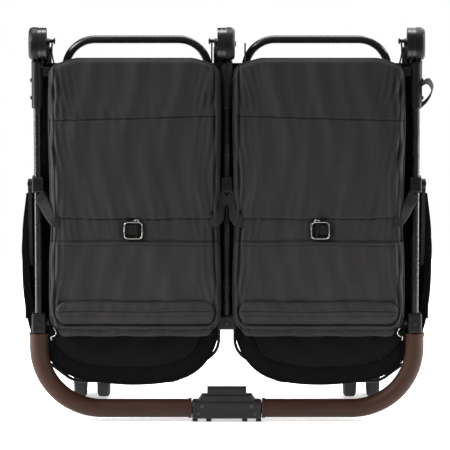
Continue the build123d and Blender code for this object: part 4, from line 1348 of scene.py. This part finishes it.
def build_hub_washers():
    """Thin dark washers that fill the play between the discs of each hub."""
    around, inner, outer = 72, 0.009, HUB_RADIUS - 0.0012
    washers = []
    for row in (-TUBE_X, 0.0, TUBE_X):
        discs = hub_discs(row)
        for (_, left), (right, _) in zip(discs, discs[1:]):
            if not 0.0002 < right - left < 0.003:
                continue
            points, faces = [], []
            for i, turn in enumerate(np.linspace(0, 2 * math.pi, around, endpoint=False)):
                for x, radius in ((left, inner), (right, inner), (right, outer), (left, outer)):
                    points.append((x, HUB_Y + radius * math.cos(turn), HUB.z + radius * math.sin(turn)))
                after = (i + 1) % around
                faces += [(4 * i + k, 4 * i + (k + 1) % 4, 4 * after + (k + 1) % 4, 4 * after + k)
                          for k in range(4)]
            washer = make_object("washer", points, faces, material("plastic"), smooth=False)
            face_out(washer)
            washers.append(washer)
    if washers:
        ring = join(washers)
        ring.name = "hub_washers"
        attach(ring, "push_frame")


def build_floor():
    """A pale floor plate, wide enough for the wheels when the stroller stands open."""
    us = spaced(-2.2, 2.2, 9)
    vs = spaced(-0.8, 1.8, 7)
    points = [(u, v, FLOOR_Z - 0.0004) for v in vs for u in us]
    floor = make_object("studio_floor", points, grid_faces(len(vs), len(us)), material("floor"))


def area_light(name, place, target, size, power):
    """A rectangular lamp at a place, turned to a target."""
    data = bpy.data.lights.new(name, "AREA")
    data.shape = "RECTANGLE"
    data.size, data.size_y = size
    data.energy = power
    lamp = bpy.data.objects.new(name, data)
    lamp.location = place
    lamp.rotation_euler = (Vector(target) - Vector(place)).to_track_quat("-Z", "Y").to_euler()
    bpy.context.scene.collection.objects.link(lamp)


def build_world():
    """A white room to look at, and a dimmer one in reflections, as black flags round a set give."""
    world = bpy.data.worlds.new("studio")
    world.use_nodes = True
    tree = world.node_tree
    background = tree.nodes["Background"]
    background.inputs["Color"].default_value = (1, 1, 1, 1)
    seen = tree.nodes.new("ShaderNodeLightPath")
    strength = tree.nodes.new("ShaderNodeMapRange")
    strength.inputs["To Min"].default_value = 0.11
    strength.inputs["To Max"].default_value = 1.0
    tree.links.new(seen.outputs["Is Camera Ray"], strength.inputs["Value"])
    tree.links.new(strength.outputs["Result"], background.inputs["Strength"])
    bpy.context.scene.world = world


def build_lights():
    """A key light, a fill, a broad top light, two strips for the tubes and one from behind."""
    middle = (0, 0, 0.37)
    area_light("key", (-2.1, -1.7, 2.4), middle, (0.9, 0.9), 92)
    area_light("fill", (2.6, -2.2, 1.0), middle, (0.7, 1.6), 26)
    area_light("top", (0.0, 0.5, 2.8), middle, (2.4, 0.9), 75)
    area_light("strip_left", (-2.0, -0.2, 0.9), middle, (0.35, 2.0), 70)
    area_light("strip_right", (2.0, 0.2, 0.9), middle, (0.35, 2.0), 70)
    area_light("behind", (1.2, 2.2, 2.2), middle, (1.4, 1.4), 50)


def build_camera():
    """A long lens from a little above, so that the uprights stay parallel."""
    view_width = 0.846
    distance = 7.5
    data = bpy.data.cameras.new("view")
    data.sensor_width = 36.0
    data.lens = data.sensor_width * distance / view_width
    camera = bpy.data.objects.new("view", data)
    aim = Vector((-0.0034, HUB_Y, 0.3738))
    elevation = math.radians(8.5)
    place = aim + Vector((0, -math.cos(elevation), math.sin(elevation))) * distance
    camera.location = place
    camera.rotation_euler = (aim - place).to_track_quat("-Z", "Y").to_euler()
    bpy.context.scene.collection.objects.link(camera)
    bpy.context.scene.camera = camera
    bpy.context.scene.view_settings.view_transform = "Standard"


# ---- finishes on the CAD pieces -------------------------------------------------------------------
NODE_FINISH = (
    ("tube", ("rear_leg", "front_leg", "rear_axle_tube", "front_cross", "seat_cross", "push_tube",
              "handle_tube", "seat_frame")),
    ("pin", ("rear_axle_stubs", "hub_pins")),
    ("rivet", ("frame_screws",)),
    ("leather", ("grip",)),
    ("connector", ("handle_connector", "connector_cover", "fold_trigger")),
    ("plastic", ("backrest_brackets", "push_hubs", "push_sleeves", "rear_end_collars", "caster",
                 "brake_pedal", "canopy_collars", "handle_sockets", "tube_end_block", "canopy_front_bow",
                 "recline_buckle")),
    ("tyre", ("rear_tyre", "front_tyres")),
    ("rim", ("rear_rim", "front_rims")),
)


def finish_nodes():
    """Puts a material on each of the frame's own pieces, by the start of its name."""
    for node, obj in frame["nodes"].items():
        for finish, starts in NODE_FINISH:
            if node.startswith(starts):
                obj.data.materials.clear()
                obj.data.materials.append(material(finish))
                break


def make_materials():
    """Makes every material from the colours that the user has set."""
    c = bpy.context.scene.stroller_colours
    MATERIALS["cloth"] = woven_cloth("charcoal_weave", tuple(c.cloth))
    MATERIALS["canopy"] = woven_cloth("black_weave", tuple(c.canopy), 0.12)
    MATERIALS["lining"] = woven_cloth("panel_weave", tuple(c.lining), 0.12)
    MATERIALS["mesh_cloth"] = woven_cloth("basket_weave", shade(tuple(c.cloth), 0.7), 0.2)
    MATERIALS["web"] = webbing_weave("flat_webbing", tuple(c.web))
    MATERIALS["binding"] = webbing_weave("edge_binding", shade(tuple(c.web), 1.25))
    MATERIALS["tube"] = coated_tube("powder_coat", tuple(c.tube))
    MATERIALS["plastic"] = moulded_plastic("moulded_black", tuple(c.plastic))
    MATERIALS["connector"] = moulded_plastic("moulded_grey", tuple(c.connector), 0.45, 0.6)
    MATERIALS["pin"] = steel("dark_pin", (0.04, 0.04, 0.042), 0.35)
    MATERIALS["rivet"] = steel("rivet_head", (0.055, 0.055, 0.057), 0.32)
    MATERIALS["bright"] = steel("bright_wire", (0.42, 0.42, 0.40), 0.22)
    MATERIALS["thread"] = webbing_weave("sewing_thread", shade(tuple(c.cloth), 1.7))
    MATERIALS["grip_thread"] = webbing_weave("grip_thread", shade(tuple(c.leather), 0.5))
    MATERIALS["leather"] = pebbled_leather("brown_leatherette", tuple(c.leather))
    MATERIALS["tyre"] = foam_rubber("foam_tyre", tuple(c.tyre))
    MATERIALS["rim"] = moulded_plastic("moulded_rim", tuple(c.rim), 0.35, 0.5)
    MATERIALS["floor"] = floor_finish("pale_floor", tuple(c.floor))


# ---- operators ------------------------------------------------------------------------------------
class StrollerOperator(bpy.types.Operator):
    """Builds one group of pieces"""
    bl_idname = "stroller.group"
    bl_label = "Group"
    bl_options = {"REGISTER", "UNDO"}
    makers = ()
    on_both_sides = True

    def execute(self, context):
        for maker in self.makers:
            if self.on_both_sides:
                for side_name, side in SIDES:
                    maker(side_name, side)
            else:
                maker()
        return {"FINISHED"}


class STROLLER_OT_finishes(StrollerOperator):
    """Makes the materials and puts them on the frame's own pieces"""
    bl_idname = "stroller.finishes"
    bl_label = "Finishes"
    makers = (make_materials, finish_nodes)
    on_both_sides = False


class STROLLER_OT_back_covers(StrollerOperator):
    """Makes the front covers, flaps, hems and piping of the backrests"""
    bl_idname = "stroller.back_covers"
    bl_label = "Back covers"
    makers = (build_back_cover, build_zip_flap, build_hem, build_corner_hook, build_piping)


class STROLLER_OT_back_pads(StrollerOperator):
    """Makes the padded child's side of the backrests"""
    bl_idname = "stroller.back_pads"
    bl_label = "Back pads"
    makers = (build_back_pad,)


class STROLLER_OT_straps(StrollerOperator):
    """Makes the recline webbing and the harnesses"""
    bl_idname = "stroller.straps"
    bl_label = "Straps"
    makers = (build_channel_web, build_recline_straps, build_harness)


class STROLLER_OT_seats(StrollerOperator):
    """Makes the seat pads, rail sleeves and calf rests"""
    bl_idname = "stroller.seats"
    bl_label = "Seats"
    makers = (build_seat_pad, build_seat_wraps, build_calf_rest)


class STROLLER_OT_canopies(StrollerOperator):
    """Makes the folded canopies"""
    bl_idname = "stroller.canopies"
    bl_label = "Canopies"
    makers = (build_canopy_cloth, build_canopy_panel, build_canopy_rear)


class STROLLER_OT_stitches(StrollerOperator):
    """Sews the covers and the grips"""
    bl_idname = "stroller.stitches"
    bl_label = "Stitches"
    makers = (build_cover_stitches, build_grip_stitches)


class STROLLER_OT_basket(StrollerOperator):
    """Makes the basket"""
    bl_idname = "stroller.basket"
    bl_label = "Basket"
    makers = (build_basket,)
    on_both_sides = False


class STROLLER_OT_loops(StrollerOperator):
    """Makes the elastic loops and the carry loop"""
    bl_idname = "stroller.loops"
    bl_label = "Loops"
    makers = (build_loops, build_hub_washers)
    on_both_sides = False


class STROLLER_OT_stage(StrollerOperator):
    """Makes the floor, the lights and the camera"""
    bl_idname = "stroller.stage"
    bl_label = "Stage"
    makers = (build_floor, build_world, build_lights, build_camera)
    on_both_sides = False


OPERATORS = (STROLLER_OT_finishes, STROLLER_OT_back_covers, STROLLER_OT_back_pads, STROLLER_OT_straps,
             STROLLER_OT_seats, STROLLER_OT_canopies, STROLLER_OT_stitches, STROLLER_OT_basket,
             STROLLER_OT_loops, STROLLER_OT_stage)


class STROLLER_PT_panel(bpy.types.Panel):
    """Lists the pieces, sizes and colours"""
    bl_idname = "STROLLER_PT_panel"
    bl_label = "Twin stroller"
    bl_space_type = "VIEW_3D"
    bl_region_type = "UI"
    bl_category = "Stroller"

    def draw(self, context):
        for kind in OPERATORS:
            self.layout.operator(kind.bl_idname)
        for group in (context.scene.stroller_sizes, context.scene.stroller_colours):
            box = self.layout.box()
            for name in group.__annotations__:
                box.prop(group, name)


CLASSES = (StrollerSizes, StrollerColours, *OPERATORS, STROLLER_PT_panel)


def register():
    for kind in CLASSES:
        bpy.utils.register_class(kind)
    bpy.types.Scene.stroller_sizes = bpy.props.PointerProperty(type=StrollerSizes)
    bpy.types.Scene.stroller_colours = bpy.props.PointerProperty(type=StrollerColours)


def unregister():
    del bpy.types.Scene.stroller_colours
    del bpy.types.Scene.stroller_sizes
    for kind in reversed(CLASSES):
        bpy.utils.unregister_class(kind)


def main():
    """Builds the whole stroller."""
    register()
    for kind in OPERATORS:
        group, name = kind.bl_idname.split(".")
        getattr(getattr(bpy.ops, group), name)()


if __name__ == "__main__":
    main()
